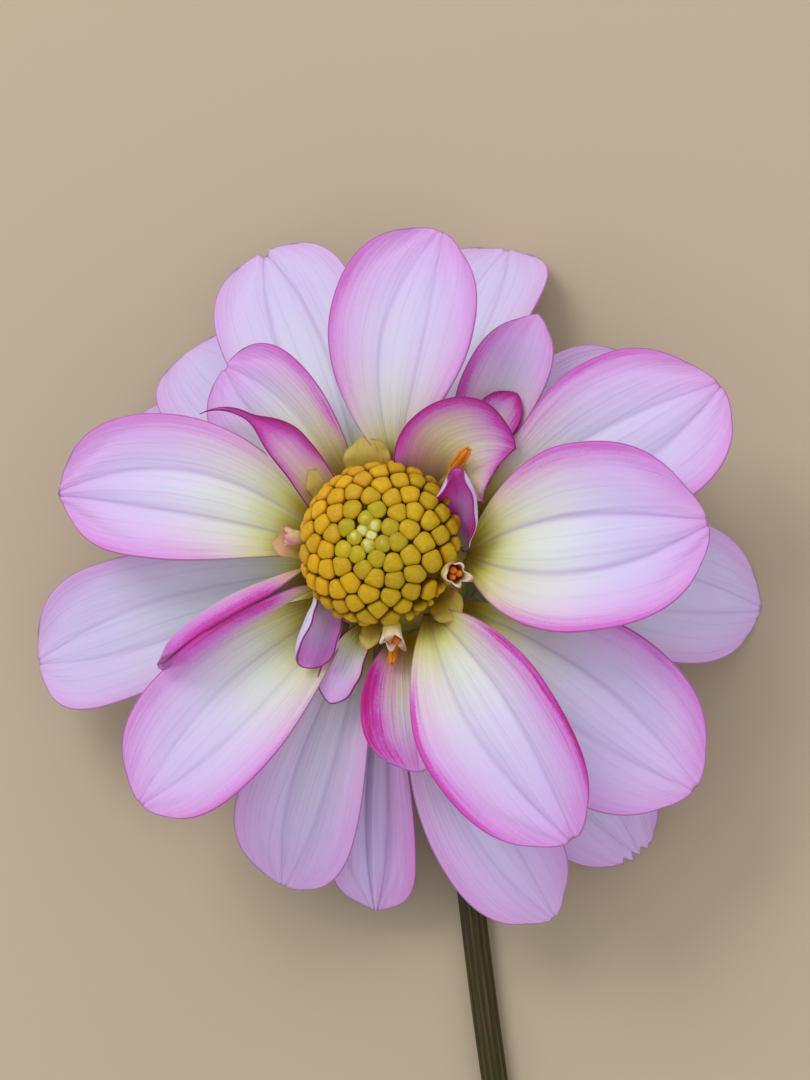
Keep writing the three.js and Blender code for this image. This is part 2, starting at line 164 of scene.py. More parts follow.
class Finish:
    # a material under construction
    def __init__(self, name, **constants):
        self.material = bpy.data.materials.new(name)
        self.material.use_nodes = True
        self.tree = self.material.node_tree
        self.shader = self.tree.nodes["Principled BSDF"]
        for socket, value in constants.items():
            self.shader.inputs[socket.replace("_", " ")].default_value = value

    def node(self, kind, settings=None, inputs=None, output=0):
        node = self.tree.nodes.new(kind)
        for setting, value in (settings or {}).items():
            setattr(node, setting, value)
        for socket, value in (inputs or {}).items():
            if isinstance(value, Value):
                self.tree.links.new(value.socket, node.inputs[socket])
            else:
                node.inputs[socket].default_value = value
        return Value(self, node.outputs[output])

    def field(self, name):
        return self.node("ShaderNodeAttribute", {"attribute_name": name}, output="Fac")

    def blade(self):
        # across (0 right, 1 left) and along (0 root, 1 tip) a blade
        uv = self.node("ShaderNodeUVMap", {"uv_map": "blade"})
        across = self.node("ShaderNodeSeparateXYZ", {}, {0: uv})
        return across, Value(self, across.socket.node.outputs[1])

    def noise(self, vector, scale, detail=3, roughness=0.5):
        inputs = {"Vector": vector, "Scale": scale, "Detail": detail, "Roughness": roughness}
        return self.node("ShaderNodeTexNoise", {}, inputs)

    def streaks(self, across, along, seed, detail=3, roughness=0.5):
        # noise on a blade, given its repeats across and along
        vector = self.node("ShaderNodeCombineXYZ", {}, {0: across, 1: along, 2: seed})
        return self.noise(vector, 1, detail, roughness)

    def place(self):
        return self.node("ShaderNodeTexCoord", output="Object")

    def blend(self, first, second, share):
        return self.node("ShaderNodeMix", {"data_type": "RGBA"}, {0: share, 6: first, 7: second}, 2)

    def layers(self, paints, first, *others):
        # the first paint, with others laid over it as far as their shares say
        colour = paints[first]
        for name, share in others:
            colour = self.blend(colour, paints[name], share)
        return colour

    def step(self, value, start, end):
        # 0 before start and 1 after end, eased
        settings = {"interpolation_type": "SMOOTHSTEP"}
        return self.node("ShaderNodeMapRange", settings, {0: value, 1: start, 2: end})

    def bump(self, height, distance, strength):
        inputs = {"Strength": strength, "Distance": distance, "Height": height}
        return self.node("ShaderNodeBump", {}, inputs)

    def done(self, **outputs):
        for socket, value in outputs.items():
            self.tree.links.new(value.socket, self.shader.inputs[socket.replace("_", " ")])
        return self.material


petalPaint = {
    "throat": paint(160, 134, 0),         # olive at the very root
    "base": paint(214, 212, 96),          # yellow-green above it
    "pale": paint(222, 230, 200),         # greenish white over that
    "white": paint(222, 228, 242),
    "lavender": paint(212, 202, 244),
    "lilac": paint(226, 164, 234),
    "magenta": paint(210, 92, 200),
    "vivid": paint(196, 20, 136),         # where the blush is strongest
    "line": paint(140, 24, 110),          # dark line along the margin
    "vein": paint(150, 116, 176),
    "wither": paint(96, 66, 50),          # dried point at the tip
}
petalSkin = {
    # noises: repeats across and along the blade, shift from its own seed, detail and roughness
    "streaks": (26, 1.6, 0, 4, 0.6), "broad": (7, 1.8, 9, 2, 0.5),
    "fibres": (75, 4, 2, 3, 0.5), "wander": (3, 2.5, 4, 2, 0.5),
    "grain": 2600,                                    # repeats a metre
    # how far the noises move the blush, the lilac tinge and the green
    "blushGrain": 1.2, "tingeBroad": 0.5, "tingeFine": 0.35, "greenStreaks": 3.5, "greenBroad": 3,
    # where a colour starts and where it is full
    "lavender": (0.3, 0.8), "lilac": (0.05, 0.5),     # in lengths of the blade
    "greens": {"pale": (0.7, 2.4), "base": (0.35, 1.35), "throat": (0.15, 0.8)},    # in reaches of green
    "vivid": (0.75, 1.5),                             # in strengths of blush
    "veins": 9, "veinWander": 0.4, "veinPower": 14, "veinBreaks": (0.35, 0.65),
    # how narrow the creases are, how much painted shade darkens them and the most it may
    "creaseNarrow": 60, "creaseShadeShare": 0.5, "creaseShadeMost": 0.8,
    # heights in the bump
    "ribs": 0.35, "streakHeight": 1.2, "fibreHeight": 0.5, "creaseDepth": 1.5, "grainHeight": 0.3,
}
petalLooks = {
    # ragged and fibres: how unevenly the blush ends; tinge: how far the lilac reaches, in mm
    "outer": dict(roughness=0.52, ragged=3.8, fibres=2.5, tinge=5.0, lilac=0.4, green=0.55,
                  veinShare=0.13, line=0.16, cells=(64, 44)),
    "face": dict(roughness=0.50, ragged=4.2, fibres=3.0, tinge=5.5, lilac=0.75, green=1,
                 veinShare=0.13, line=0.2, cells=(64, 44)),
    "deep": dict(roughness=0.46, ragged=1.2, fibres=1.5, tinge=4.0, lilac=0.85, green=1,
                 veinShare=0.22, line=0.22, cells=(46, 30)),
}
creases = {
    "at": 0.3,          # half the width of the middle panel
    "meet": 0.75,       # how far they close up at the tip
    "sides": 0.7,       # how proud the side panels stand, against the middle one
}


def petalFinish(name, look):
    # White to lavender from root to tip, lilac and then magenta towards the margins, a dark
    # line on the very edge, olive and yellow-green at the root, veins along the blade, painted
    # shade in the two creases beside the middle panel, and a dried point at the tip.
    skin = petalSkin
    finish = Finish(name, Roughness=look["roughness"], Subsurface_Weight=0.2,
                    Subsurface_Radius=(0.8, 0.6, 0.9), Subsurface_Scale=0.002,
                    Specular_IOR_Level=0.3, Sheen_Weight=0.1, Sheen_Roughness=0.45)
    across, along = finish.blade()
    seed = finish.field("seed")

    def pattern(kind):
        timesAcross, timesAlong, shift, detail, roughness = skin[kind]
        return finish.streaks(across * timesAcross, along * timesAlong, seed + shift, detail, roughness)

    streaks, broad, fibres = pattern("streaks"), pattern("broad"), pattern("fibres")
    grain = finish.noise(finish.place(), skin["grain"], 2)

    # the blush dies away from the margin by an exponential, as far as fade says
    fromRim = finish.field("rim")
    ragged = (fromRim + (streaks - 0.5) * look["ragged"] + (broad - 0.5) * look["ragged"]
              + (fibres - 0.5) * look["fibres"] + (grain - 0.5) * skin["blushGrain"])
    full = 1 - finish.field("under") * finish.field("paleUnder")
    ageing = (ragged.math("MAXIMUM", 0) * -1 / finish.field("fade")).math("EXPONENT")
    strong = ageing * finish.field("blush") * full
    tinge = ((fromRim * -1 / look["tinge"]).math("EXPONENT") + (broad - 0.5) * skin["tingeBroad"]
             + (streaks + fibres - 1) * skin["tingeFine"])
    tinge = tinge * (full * look["lilac"] * finish.step(along, *skin["lilac"]))

    green = finish.field("green") * look["green"]
    fromRoot = finish.field("root") + (streaks - 0.5) * skin["greenStreaks"]
    fromRoot = fromRoot + (broad - 0.5) * skin["greenBroad"]
    greens = [(shade, 1 - finish.step(fromRoot, green * start, green * end))
              for shade, (start, end) in skin["greens"].items()]

    # veins: a high power of a cosine across the blade, which noise shifts and breaks
    phase = (across * skin["veins"] + pattern("wander") * skin["veinWander"]) * (2 * np.pi)
    vein = (phase.math("COSINE") * 0.5 + 0.5) ** skin["veinPower"]
    broken = finish.step(streaks, *skin["veinBreaks"])
    # creases: a narrow bell where the middle panel meets each side panel; it darkens the colour there as
    # painted shade and sinks the bump
    beside = (across - 0.5).math("ABSOLUTE") * (2 / creases["at"]) / (1 - along ** 4 * creases["meet"]) - 1
    valley = (beside * beside * -skin["creaseNarrow"]).math("EXPONENT")
    valley = valley * finish.field("crease") * (streaks + 0.3)
    edge = 1 - finish.step(fromRim, look["line"] * 0.3, look["line"])

    colour = finish.layers(
        petalPaint, "white", ("lavender", finish.step(along, *skin["lavender"])),
        ("lilac", tinge.math("MINIMUM", 1)), *greens, ("magenta", strong.math("MINIMUM", 1)),
        ("vivid", finish.step(strong, *skin["vivid"])), ("vein", vein * broken * look["veinShare"]),
        # painted shade: the vein colour darkens the creases
        ("vein", (valley * skin["creaseShadeShare"]).math("MINIMUM", skin["creaseShadeMost"])),
        ("line", edge * finish.field("outline")), ("wither", finish.field("wither")))
    ribs = (phase * 2).math("COSINE") * skin["ribs"] + streaks * skin["streakHeight"]
    ribs = ribs + fibres * skin["fibreHeight"] - vein - valley * skin["creaseDepth"]
    ribs = ribs + grain * skin["grainHeight"]
    return finish.done(Base_Color=colour, Normal=finish.bump(ribs, 0.00012, 0.5))


def addPiece(name, points, faces, material, node, fields=None, uv=None):
    # one mesh, its points given in flower millimetres, with fields as attributes of its points
    mesh = bpy.data.meshes.new(name)
    mesh.from_pydata(inWorld(points).tolist(), [], [face for group in faces for face in group.tolist()])
    mesh.polygons.foreach_set("use_smooth", np.ones(len(mesh.polygons), bool))
    for field, values in (fields or {}).items():
        attribute = mesh.attributes.new(field, "FLOAT", "POINT")
        attribute.data.foreach_set("value", np.broadcast_to(values, len(points)).astype(np.float32))
    if uv is not None:
        corner = np.empty(len(mesh.loops), np.int32)
        mesh.loops.foreach_get("vertex_index", corner)
        mesh.uv_layers.new(name="blade").data.foreach_set("uv", uv[corner].astype(np.float32).ravel())
    mesh.materials.append(material)
    mesh.update()
    obj = bpy.data.objects.new(name, mesh)
    bpy.context.collection.objects.link(obj)
    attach(obj, "root")
    if node:
        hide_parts(node)


def gridFaces(rows, columns, start=0):
    # quads of a grid of points, rows by columns cells
    i, j = np.meshgrid(np.arange(rows), np.arange(columns), indexing="ij")
    a = (start + i * (columns + 1) + j).ravel()
    return np.stack([a, a + columns + 1, a + columns + 2, a + 1], 1)


def ringFaces(rings, sides, start=0):
    # quads between rings of points, and a fan over each end, where a single point closes it;
    # the points come as: first pole, rings by sides, last pole
    i, j = np.meshgrid(np.arange(rings - 1), np.arange(sides), indexing="ij")
    after = (j + 1) % sides
    first = start + 1
    quads = np.stack([first + i * sides + j, first + i * sides + after,
                      first + (i + 1) * sides + after, first + (i + 1) * sides + j], -1).reshape(-1, 4)
    around = np.arange(sides)
    after = (around + 1) % sides
    last = first + (rings - 1) * sides
    top = last + sides
    bottomFan = np.stack([np.full(sides, start), first + after, first + around], 1)
    topFan = np.stack([np.full(sides, top), last + around, last + after], 1)
    return [quads, bottomFan, topFan]


def fullTurn(sides):
    # evenly spaced angles round a circle
    return np.linspace(0, 2 * np.pi, sides, endpoint=False)


def ringPoints(radius, around, height):
    # points given by their distance from the axis, their angle round it and their height
    x, y = radius * np.cos(around), radius * np.sin(around)
    return np.stack([x, y, height + 0 * around], -1).reshape(-1, 3)


def eased(x):
    # 0 to 1 by a cubic that starts and ends level
    x = np.clip(x, 0, 1)
    return x * x * (3 - 2 * x)


rim = {"radius": 8.0, "round": 4.0, "height": -4.0}    # of the receptacle, where the blades are seated
plainBlade = dict(
    # seat on the rim and gap to it, slope at root and tip, swing sideways and how late it comes, roll
    seat=40, gap=0.55, rise=40, tip=0, veer=0, late=1, lean=0,
    # width, where it is widest, how it opens and closes, half width at the root, the tip's notch and teeth
    width=26, widest=0.6, shoulder=1.35, point=0.68, claw=1.3, notch=0, teeth=0,
    # how far, from where and over how much of its length it is drawn in
    taper=0, taperFrom=0.42, taperOver=0.35,
    # slope of the margins in the middle, at the root and at the tip, and how soon the root opens
    cup=30, base=55, end=30, open=5,
    # the left margin rolled in, from where on and how narrowly
    curl=0, curlFrom=0.55, curlPower=3,
    # thickness in the middle and at the margin, height of the panels, height and number of ripples
    thick=0.42, thin=0.2, crease=0, wave=0, waves=3,
    # blush, its share by side and at the tip, where it starts, how far it and the green reach
    blush=0.7, blushLeft=1, blushRight=1, tipBlush=0.35, bare=0.08, fade=2, green=10,
    # strength of the dark edge and of the dried tip, and how much paler the back is
    outline=0.55, wither=0, paleUnder=0.3,
)
endShape = {
    "cap": 0.42, "power": 2.3, "pull": 1.5,            # how blunt the tip is and how the last rows follow it
    "nick": 0.16, "dried": 0.4,                        # half width of a notch; size of the dried point in mm
    # teeth in half the width, where the row starts, its middle and how far it spreads
    "teeth": 3, "teethShift": 0.3, "teethMiddle": -0.1, "teethSpread": 0.6,
}
bladeDetail = {
    "rollOver": 0.35, "curlOver": 0.35, "blushOver": 0.3,    # lengths over which each comes in
    "panelsFrom": 0.3, "panelsEase": 0.35,             # where the panels are full, and their loss at the tip
    "rippleSkew": 0.15, "ripplePower": 2.5, "rippleTilt": 0.4,
    "bend": 0.03, "bends": 1.3, "bendsAcross": 0.7,    # slow bends, as a share of the half width
    "thickAt": 4, "thickPower": 0.6,                   # mm from the margin to the full thickness
    "sectionSteps": 12,
}
ribSteps = 120
stations = np.linspace(0, 1, ribSteps + 1)             # along the midrib


def edgeDistance(points, edge):
    # distance from each flat point to the nearest stretch of the open polyline edge
    a, b = edge[:-1], edge[1:]
    span = b - a
    offset = points[:, None] - a
    share = np.clip((offset * span).sum(-1) / (span ** 2).sum(-1), 0, 1)
    return np.sqrt(((offset - share[..., None] * span) ** 2).sum(-1).min(1))


def slopeAt(b, k):
    # eases from rise to tip by a square
    return np.radians(b["rise"] + (b["tip"] - b["rise"]) * (1 - (1 - k) ** 2))


def swingAt(b, k):
    # turn to the side, as a power of the way along, less its mean
    return np.radians(b["veer"]) * (k ** b["late"] - 1 / (b["late"] + 1))


def heading(slope, bearing):
    # unit vector that climbs at slope and points to bearing
    return np.stack([np.cos(slope) * np.cos(bearing), np.cos(slope) * np.sin(bearing), np.sin(slope)], -1)


def bladeMidrib(b):
    # Equal steps that follow slope and swing. A blade with a reach gets the length and first
    # bearing that carry its tip that far from the axis, at tipAz; any other heads for tipAz.
    offset = rim["round"] + b["gap"]
    seat, az = np.radians(b["seat"]), np.radians(b["az"])
    rootRadius = rim["radius"] + offset * np.cos(seat)
    root = np.array([rootRadius * np.cos(az), rootRadius * np.sin(az), rim["height"] + offset * np.sin(seat)])
    tipBearing = np.radians(b.get("tipAz", b["az"]))
    middles = (stations[1:] + stations[:-1]) / 2
    if "length" in b:
        length, turn = b["length"], tipBearing
    else:
        chord = heading(slopeAt(b, middles), swingAt(b, middles)).mean(0)
        toTip = b["reach"] * np.array([np.cos(tipBearing), np.sin(tipBearing)]) - root[:2]
        length = np.hypot(*toTip) / np.hypot(*chord[:2])
        turn = np.arctan2(toTip[1], toTip[0]) - np.arctan2(chord[1], chord[0])
    steps = heading(slopeAt(b, middles), swingAt(b, middles) + turn) * length / ribSteps
    return root + np.vstack([np.zeros(3), np.cumsum(steps, 0)]), length, turn


def bladeOutline(b, length, t, s):
    # Half width: a power of a sine up to the widest place, then a superellipse whose end the
    # last rows follow, less notch and teeth. Gives the half width, how far along the midrib
    # each point lies, and how far its row is from the widest place to the tip.
    widest, point, power = b["widest"], b["point"], endShape["power"]
    sideEnd = (1 - endShape["cap"] ** (1 / point)) ** (1 / power)
    capReach = (1 - (endShape["cap"] * np.abs(s)) ** (1 / point)) ** (1 / power)
    nick = b["notch"] * np.exp(-((s / endShape["nick"]) ** 2))
    saw = np.abs(((s * endShape["teeth"] + endShape["teethShift"]) % 1) - 0.5) * 2
    teeth = b["teeth"] * saw * np.exp(-((s - endShape["teethMiddle"]) / endShape["teethSpread"]) ** 4)
    capReach = capReach - (nick + teeth) / (length * (1 - widest))
    beyond = np.clip((t - widest) / (1 - widest), 0, 1)
    spread = np.sin(np.pi / 2 * np.clip(t / widest, 0, 1)) ** b["shoulder"]
    closing = b["width"] / 2 * (1 - (beyond * sideEnd) ** power) ** point
    half = np.where(t < widest, b["claw"] + (b["width"] / 2 - b["claw"]) * spread, closing) + 0 * s
    half = half * (1 - b["taper"] * eased((t - b["taperFrom"]) / b["taperOver"]))
    pulled = 1 - (1 - capReach) * beyond ** endShape["pull"]
    k = np.where(t < widest, t + 0 * s, widest + (1 - widest) * beyond * pulled)
    return half, k, beyond


def bladeSection(b, half, t, s):
    # Across, the slope grows evenly from midrib to margin, and more steeply in a rolled margin;
    # the means of its cosine and sine say how far out and up each point lies.
    margin = b["cup"] + (b["base"] - b["cup"]) * (1 - t) ** b["open"] + (b["end"] - b["cup"]) * t ** 4
    rolled = b["curl"] * eased((t - b["curlFrom"]) / bladeDetail["curlOver"])
    inner = (np.arange(bladeDetail["sectionSteps"]) + 0.5) / bladeDetail["sectionSteps"]

    def tilt(q):
        curl = rolled[..., None] * np.clip(q, 0, None) ** b["curlPower"]
        return np.radians(margin[..., None] * q + curl)

    angles = tilt(s[..., None] * inner)
    return half * s * np.cos(angles).mean(-1), half * s * np.sin(angles).mean(-1), tilt(s[..., None])


def bladeRelief(b, half, t, s, seed):
    # a parabola between the creases and half a sine outside them, ripples that grow towards
    # the margins by a power, and slow bends
    d = bladeDetail
    phase = np.random.default_rng(seed).uniform(0, 1, 4)
    q = np.abs(s) / creases["at"] / (1 - creases["meet"] * t ** 4)
    outside = np.clip((q - 1) * creases["at"] / (1 - creases["at"]), 0, 1)
    panel = np.where(q < 1, 1 - q ** 2, creases["sides"] * np.sin(np.pi * outside))
    panel = b["crease"] * panel * eased(t / d["panelsFrom"]) * (1 - d["panelsEase"] * eased((t - 0.8) / 0.2))
    ripple = np.sin(2 * np.pi * (b["waves"] * t + phase[0] + d["rippleSkew"] * s)) * np.sin(np.pi * t ** 1.3)
    reach = b["wave"] * np.abs(s) ** d["ripplePower"] * (1 + d["rippleTilt"] * s * np.cos(7 * phase[1]))
    bend = np.sin(2 * np.pi * (t * d["bends"] + phase[2])) * np.sin(np.pi * (s * d["bendsAcross"] + phase[3]))
    return panel + reach * ripple + d["bend"] * half * bend * eased(t / 0.4)


def bladeGrid(b, rows, columns, seed):
    # The section of each row is carried along the midrib, square to it and rolled by lean.
    # Gives points, normals, thickness, the fields that the finishes read, and the UV map.
    t = np.linspace(0, 1, rows + 1)[:, None]          # 0 at the root, 1 at the tip
    s = np.linspace(-1, 1, columns + 1)[None, :]      # -1 at the right margin, 1 at the left
    midrib, length, turn = bladeMidrib(b)
    half, k, beyond = bladeOutline(b, length, t, s)
    sideways, lift, face = bladeSection(b, half, t, s)
    lift = lift + bladeRelief(b, half, t, s, seed)

    slope, bearing = slopeAt(b, k), swingAt(b, k) + turn
    forward, up = heading(slope, bearing), heading(slope + np.pi / 2, bearing)
    side = np.cross(up, forward)
    roll = (np.radians(b["lean"]) * eased(k / bladeDetail["rollOver"]))[..., None]
    left = side * np.cos(roll) + up * np.sin(roll)
    normal = up * np.cos(roll) - side * np.sin(roll)
    centre = np.stack([np.interp(k, stations, midrib[:, i]) for i in range(3)], -1)
    points = centre + left * sideways[..., None] + normal * lift[..., None]
    normals = unit(normal * np.cos(face) - left * np.sin(face))

    flat = np.stack([half * s, k * length], -1).reshape(-1, 2)
    index = np.arange(flat.shape[0]).reshape(rows + 1, columns + 1)
    edge = np.concatenate([index[:, 0], index[-1, 1:-1], index[::-1, -1]])
    rimDistance = edgeDistance(flat, flat[edge])
    sides = np.where(s > 0, b["blushLeft"], b["blushRight"])
    blush = b["blush"] * (sides * (1 - beyond ** 3) + b["tipBlush"] * beyond ** 3)
    blush = blush * eased((t - b["bare"]) / bladeDetail["blushOver"])
    toTip, aside = (length - b["notch"] - k * length) / endShape["dried"], half * s / endShape["dried"]
    fields = {
        "rim": rimDistance, "root": (k * length).ravel(), "blush": blush.ravel(),
        "wither": (b["wither"] * np.exp(-toTip ** 2 - aside ** 2)).ravel(),
        "crease": min(b["crease"], 1), "seed": seed * 3.7,
        **{name: b[name] for name in ("fade", "green", "outline", "paleUnder")},
    }
    uv = np.stack([(s * 0.5 + 0.5) + 0 * t, t + 0 * s], -1).reshape(-1, 2)
    inwards = np.clip(rimDistance / bladeDetail["thickAt"], 0, 1) ** bladeDetail["thickPower"]
    thickness = b["thin"] + (b["thick"] - b["thin"]) * inwards
    return points.reshape(-1, 3), normals.reshape(-1, 3), thickness, fields, uv


def closedBlade(blade, rows, columns, seed):
    # both faces of the blade and a band round its edge; nothing goes below the surface
    points, normals, thickness, fields, uv = bladeGrid({**plainBlade, **blade}, rows, columns, seed)
    layers = []
    for sign in (-1, 1):
        layer = points + normals * (sign * thickness / 2)[:, None]
        lowest = surface if sign < 0 else surface + thickness
        layer[:, 2] = np.maximum(layer[:, 2], lowest)
        layers.append(layer)
    count = len(points)
    under = gridFaces(rows, columns)[:, ::-1]
    upper = gridFaces(rows, columns, count)
    index = np.arange(count).reshape(rows + 1, columns + 1)
    loop = np.concatenate([index[0, :-1], index[:-1, -1], index[-1, :0:-1], index[:0:-1, 0]])
    after = np.roll(loop, -1)
    band = np.stack([after, loop, loop + count, after + count], 1)
    doubled = {name: np.tile(np.broadcast_to(values, count), 2) for name, values in fields.items()}
    doubled["under"] = np.repeat([1.0, 0.0], count)
    return np.vstack(layers), np.vstack([under, upper, band]), doubled, np.tile(uv, (2, 1))


petals = {
    # az is the bearing of the seat, tipAz and reach the bearing and distance of the tip from the
    # axis; without a tipAz, az serves for both, and a length can stand in place of a reach
    # lowest layer
    "ray_back_01": dict(
        az=118, tipAz=119, reach=59.5, seat=-10, rise=5, tip=-24, lean=8, width=24, notch=1.9, crease=0.8,
        blush=0.32, blushRight=0.4, wither=0.8),
    "ray_back_02": dict(
        az=79, tipAz=80.5, reach=54.5, seat=-25, rise=2, tip=-38, width=20.5, widest=0.72, notch=0.8,
        crease=0.5, blush=0.28),
    "ray_back_03": dict(az=45, reach=46, seat=-20, rise=5, tip=-25, width=16, blush=0.28),
    "ray_back_04": dict(
        az=-6, tipAz=-4, reach=51, seat=-25, rise=2, tip=-40, width=23, crease=0.5, blush=0.35, wither=0.7),
    "ray_back_05": dict(
        az=-49, tipAz=-50, reach=54.5, seat=-30, rise=0, tip=-30, width=21, notch=0.4, teeth=1.5,
        crease=0.5, blush=0.34, fade=5),
    "ray_back_06": dict(
        az=-72, tipAz=-65, reach=57, seat=-10, rise=5, tip=-22, veer=30, width=18, widest=0.7, point=0.85,
        notch=0.5, crease=0.5, blush=0.45, fade=5),
    "ray_back_07": dict(
        az=-95, reach=51, seat=-30, rise=0, tip=-28, width=14, widest=0.8, crease=1.0, blush=0.55,
        blushLeft=1.2, blushRight=0.5, fade=5),
    "ray_back_08": dict(
        az=-111, tipAz=-110.5, reach=51.5, seat=-10, rise=5, tip=-25, width=20.5, widest=0.7, shoulder=1.0,
        claw=2.5, notch=0.4, crease=0.5, blush=0.45, fade=5),
    "ray_back_09": dict(
        az=-166, reach=62, seat=-10, rise=5, tip=-18, width=23, widest=0.7, shoulder=0.9, claw=3, notch=0.6,
        crease=0.5, blush=0.35),
    "ray_back_10": dict(az=157, reach=60, seat=-34, rise=-6, tip=-28, lean=16, width=22, blush=0.28),
    "ray_back_11": dict(az=139, reach=56, seat=-22, rise=2, tip=-30, lean=14, width=22, blush=0.28),
    # middle layer
    "ray_mid_01": dict(
        az=24, tipAz=28, reach=54, seat=15, rise=25, tip=-12, veer=25, width=27, notch=0.4, crease=0.7,
        blush=0.9, blushRight=0.6, wither=0.4),
    "ray_mid_02": dict(
        az=-36, reach=57, seat=10, rise=20, tip=-12, width=26, notch=0.35, crease=0.5, blush=0.9,
        blushRight=0.4, wither=0.5),
    "ray_mid_03": dict(
        az=-133, reach=52.5, seat=14, rise=23, tip=-4, width=22.8, widest=0.62, shoulder=0.9, claw=3.5,
        notch=0.4, crease=0.5, blush=0.8),
    "ray_mid_04": dict(
        az=169, tipAz=171, reach=52.5, seat=22, rise=30, tip=-5, veer=35, lean=-2, width=23, widest=0.58,
        shoulder=0.9, claw=3, crease=0.8, blush=0.75, fade=2.6, wither=1.0),
    "ray_mid_05": dict(
        az=53, tipAz=60, reach=41.2, seat=4, rise=21, tip=0, veer=14, width=13, point=0.8, blush=1.0,
        blushRight=0.4),
    # top layer
    "ray_front_01": dict(
        az=86.4, tipAz=80, reach=46.4, seat=42, rise=42, tip=5, veer=-28, width=23.2, widest=0.62,
        notch=0.3, crease=0.5, blush=0.85, blushRight=0.7, fade=2.4, green=8),
    "ray_front_02": dict(
        az=-1, tipAz=4, reach=48.2, seat=38, rise=42, tip=-8, veer=22, width=29.5, widest=0.52,
        shoulder=1.1, notch=0.4, cup=40, crease=0.9, blush=0.85, fade=2.4),
    "ray_front_03": dict(
        az=-53, tipAz=-54, reach=52.4, seat=45, rise=40, tip=-8, lean=15, width=23.8, widest=0.55,
        shoulder=1.2, notch=0.5, cup=40, crease=0.7, blush=1.0, blushLeft=1.7, blushRight=1.1, fade=2.2,
        wither=0.4),
    "ray_front_04": dict(
        az=131, tipAz=134, reach=38.6, seat=17, rise=29, tip=2, veer=10, lean=-12, width=18.5, widest=0.64,
        shoulder=0.75, point=0.52, notch=0.5, crease=0.5, blush=1.0, blushLeft=0.4, fade=2.6),
    "ray_front_05": dict(
        az=-76, tipAz=-78, reach=33.4, seat=26, rise=22, tip=4, lean=-10, width=16, shoulder=0.9, cup=45,
        blush=1.3, blushLeft=0.5, blushRight=1.4, fade=3.2),
    # folded and half-turned petals next to the disc
    "ray_fold_01": dict(
        az=144, tipAz=146, reach=34.8, seat=55, rise=42, tip=0, veer=80, late=4, lean=16, width=10.5,
        widest=0.4, shoulder=0.6, point=1.5, claw=3, taper=0.8, cup=104, base=80, end=95, blush=1.6, fade=4,
        outline=1.0, paleUnder=0.8),
    "ray_fold_02": dict(
        az=-158, tipAz=-150, reach=37.5, seat=56, rise=36, tip=0, veer=20, lean=-20, width=15.5,
        widest=0.55, shoulder=0.8, point=0.55, taper=0.5, taperFrom=0.86, taperOver=0.17, cup=184, base=70,
        end=176, open=7, blush=1.4, fade=3.2, outline=0.6, paleUnder=0),
    "ray_hood_01": dict(
        az=50, tipAz=36.5, reach=24, seat=46, rise=58, tip=-4, veer=-116, late=0.9, lean=20, width=19,
        widest=0.42, shoulder=0.8, point=1.1, cup=58, base=60, end=40, blush=1.1, blushLeft=1.3,
        blushRight=0.85, tipBlush=1.2, fade=3.0, green=11, outline=1.0, paleUnder=0),
    "ray_small_01": dict(
        az=48, tipAz=52, reach=29.7, seat=21, rise=27, tip=3, width=7.5, widest=0.7, blush=1.5,
        tipBlush=1.3, outline=1.0),
    # half-formed petals at the disc's edge
    "petaloid_01": dict(
        az=5, tipAz=80, length=13.5, seat=56, rise=55, tip=35, veer=55, lean=-18, width=11, widest=0.55,
        shoulder=0.75, point=0.6, claw=1, cup=72, base=60, end=120, curl=90, wave=0.3, blush=2.3, fade=4,
        green=1, outline=1.2, paleUnder=0.9),
    "petaloid_02": dict(
        az=-142, tipAz=-103, length=12, seat=46.5, rise=44, tip=0, lean=-38, width=11.5, shoulder=0.8,
        cup=126, end=90, wave=0.3, blush=1.2, fade=3, green=2, outline=1.2, paleUnder=0.95),
    "petaloid_03": dict(
        az=-107, tipAz=-109, length=12.5, seat=34, rise=21, tip=5, width=7, shoulder=0.8, cup=55, wave=0.3,
        blush=0.3, green=4, outline=1.2),
}


def petalKind(name):
    # which of the three looks a petal has
    if name.startswith("ray_back"):
        return "outer"
    return "face" if name.startswith(("ray_mid", "ray_front")) else "deep"


def addPetals():
    # every petal a closed blade, its mesh as fine as its look asks
    finishes = {kind: petalFinish(f"petal_{kind}", look) for kind, look in petalLooks.items()}
    for number, (name, blade) in enumerate(petals.items()):
        kind = petalKind(name)
        points, faces, fields, uv = closedBlade(blade, *petalLooks[kind]["cells"], number + 1)
        addPiece(f"{name}_petal", points, [faces], finishes[kind], name, fields, uv)
    print("petals:", len(petals))


disc = {
    "radius": 10.9, "height": 5.6, "centre": 5.3,    # half an egg
    "florets": 140, "sweep": 122, "crowd": 0.70,     # how many, how far from the apex and how crowded
    "stray": 0.1,                                    # how far buds stand off the spiral, in widths
    "room": 0.75,                                    # buds this near an open floret make way
    "lean": 0.10,                                    # buds lean towards the apex
    "youngTo": 40,                                   # angle from the apex where the green ends
    "litGoldOver": (13, 30),                            # how fast it turns golden to the left and up, a painted light on the side the key light comes from
    "core": dict(inset=0.7, rings=24, sides=48, angles=(128, 4)),
}
bud = {
    "rings": 10, "sides": 25, "angles": (-42, 82),   # of the section, level at the widest place
    "full": 2.45, "equator": 0.42, "foot": 1.6,      # how square it is, where it is widest, its depth below
    "tall": 0.46, "youngTall": 0.34,                 # height of an old and a young one, in widths
    "tallness": (0.9, 1.1),
    "gap": 1.05, "youngGap": 0.06,                   # how far buds reach towards their neighbours
    "corner": 8, "most": 0.72,                       # how square the corners are, and the most it reaches
    "slits": 5, "slit": 0.05, "slitTurn": 6,
    "spire": 0.5, "steep": 1.3,                      # how pointed and how steep the youngest are
}
openFlorets = {
    # bearing and angle from the apex, turn about itself, and tilt towards the apex; size and
    # pink flush, where they differ, and no node where it stands for none
    "open_floret_01": dict(az=-22, polar=86, turn=10, lift=40),
    "open_floret_02": dict(az=-79, polar=108, turn=40, lift=50),
    "open_floret_03": dict(az=176, polar=94, turn=15, lift=18, size=0.75, flush=1.0, node=None),
}
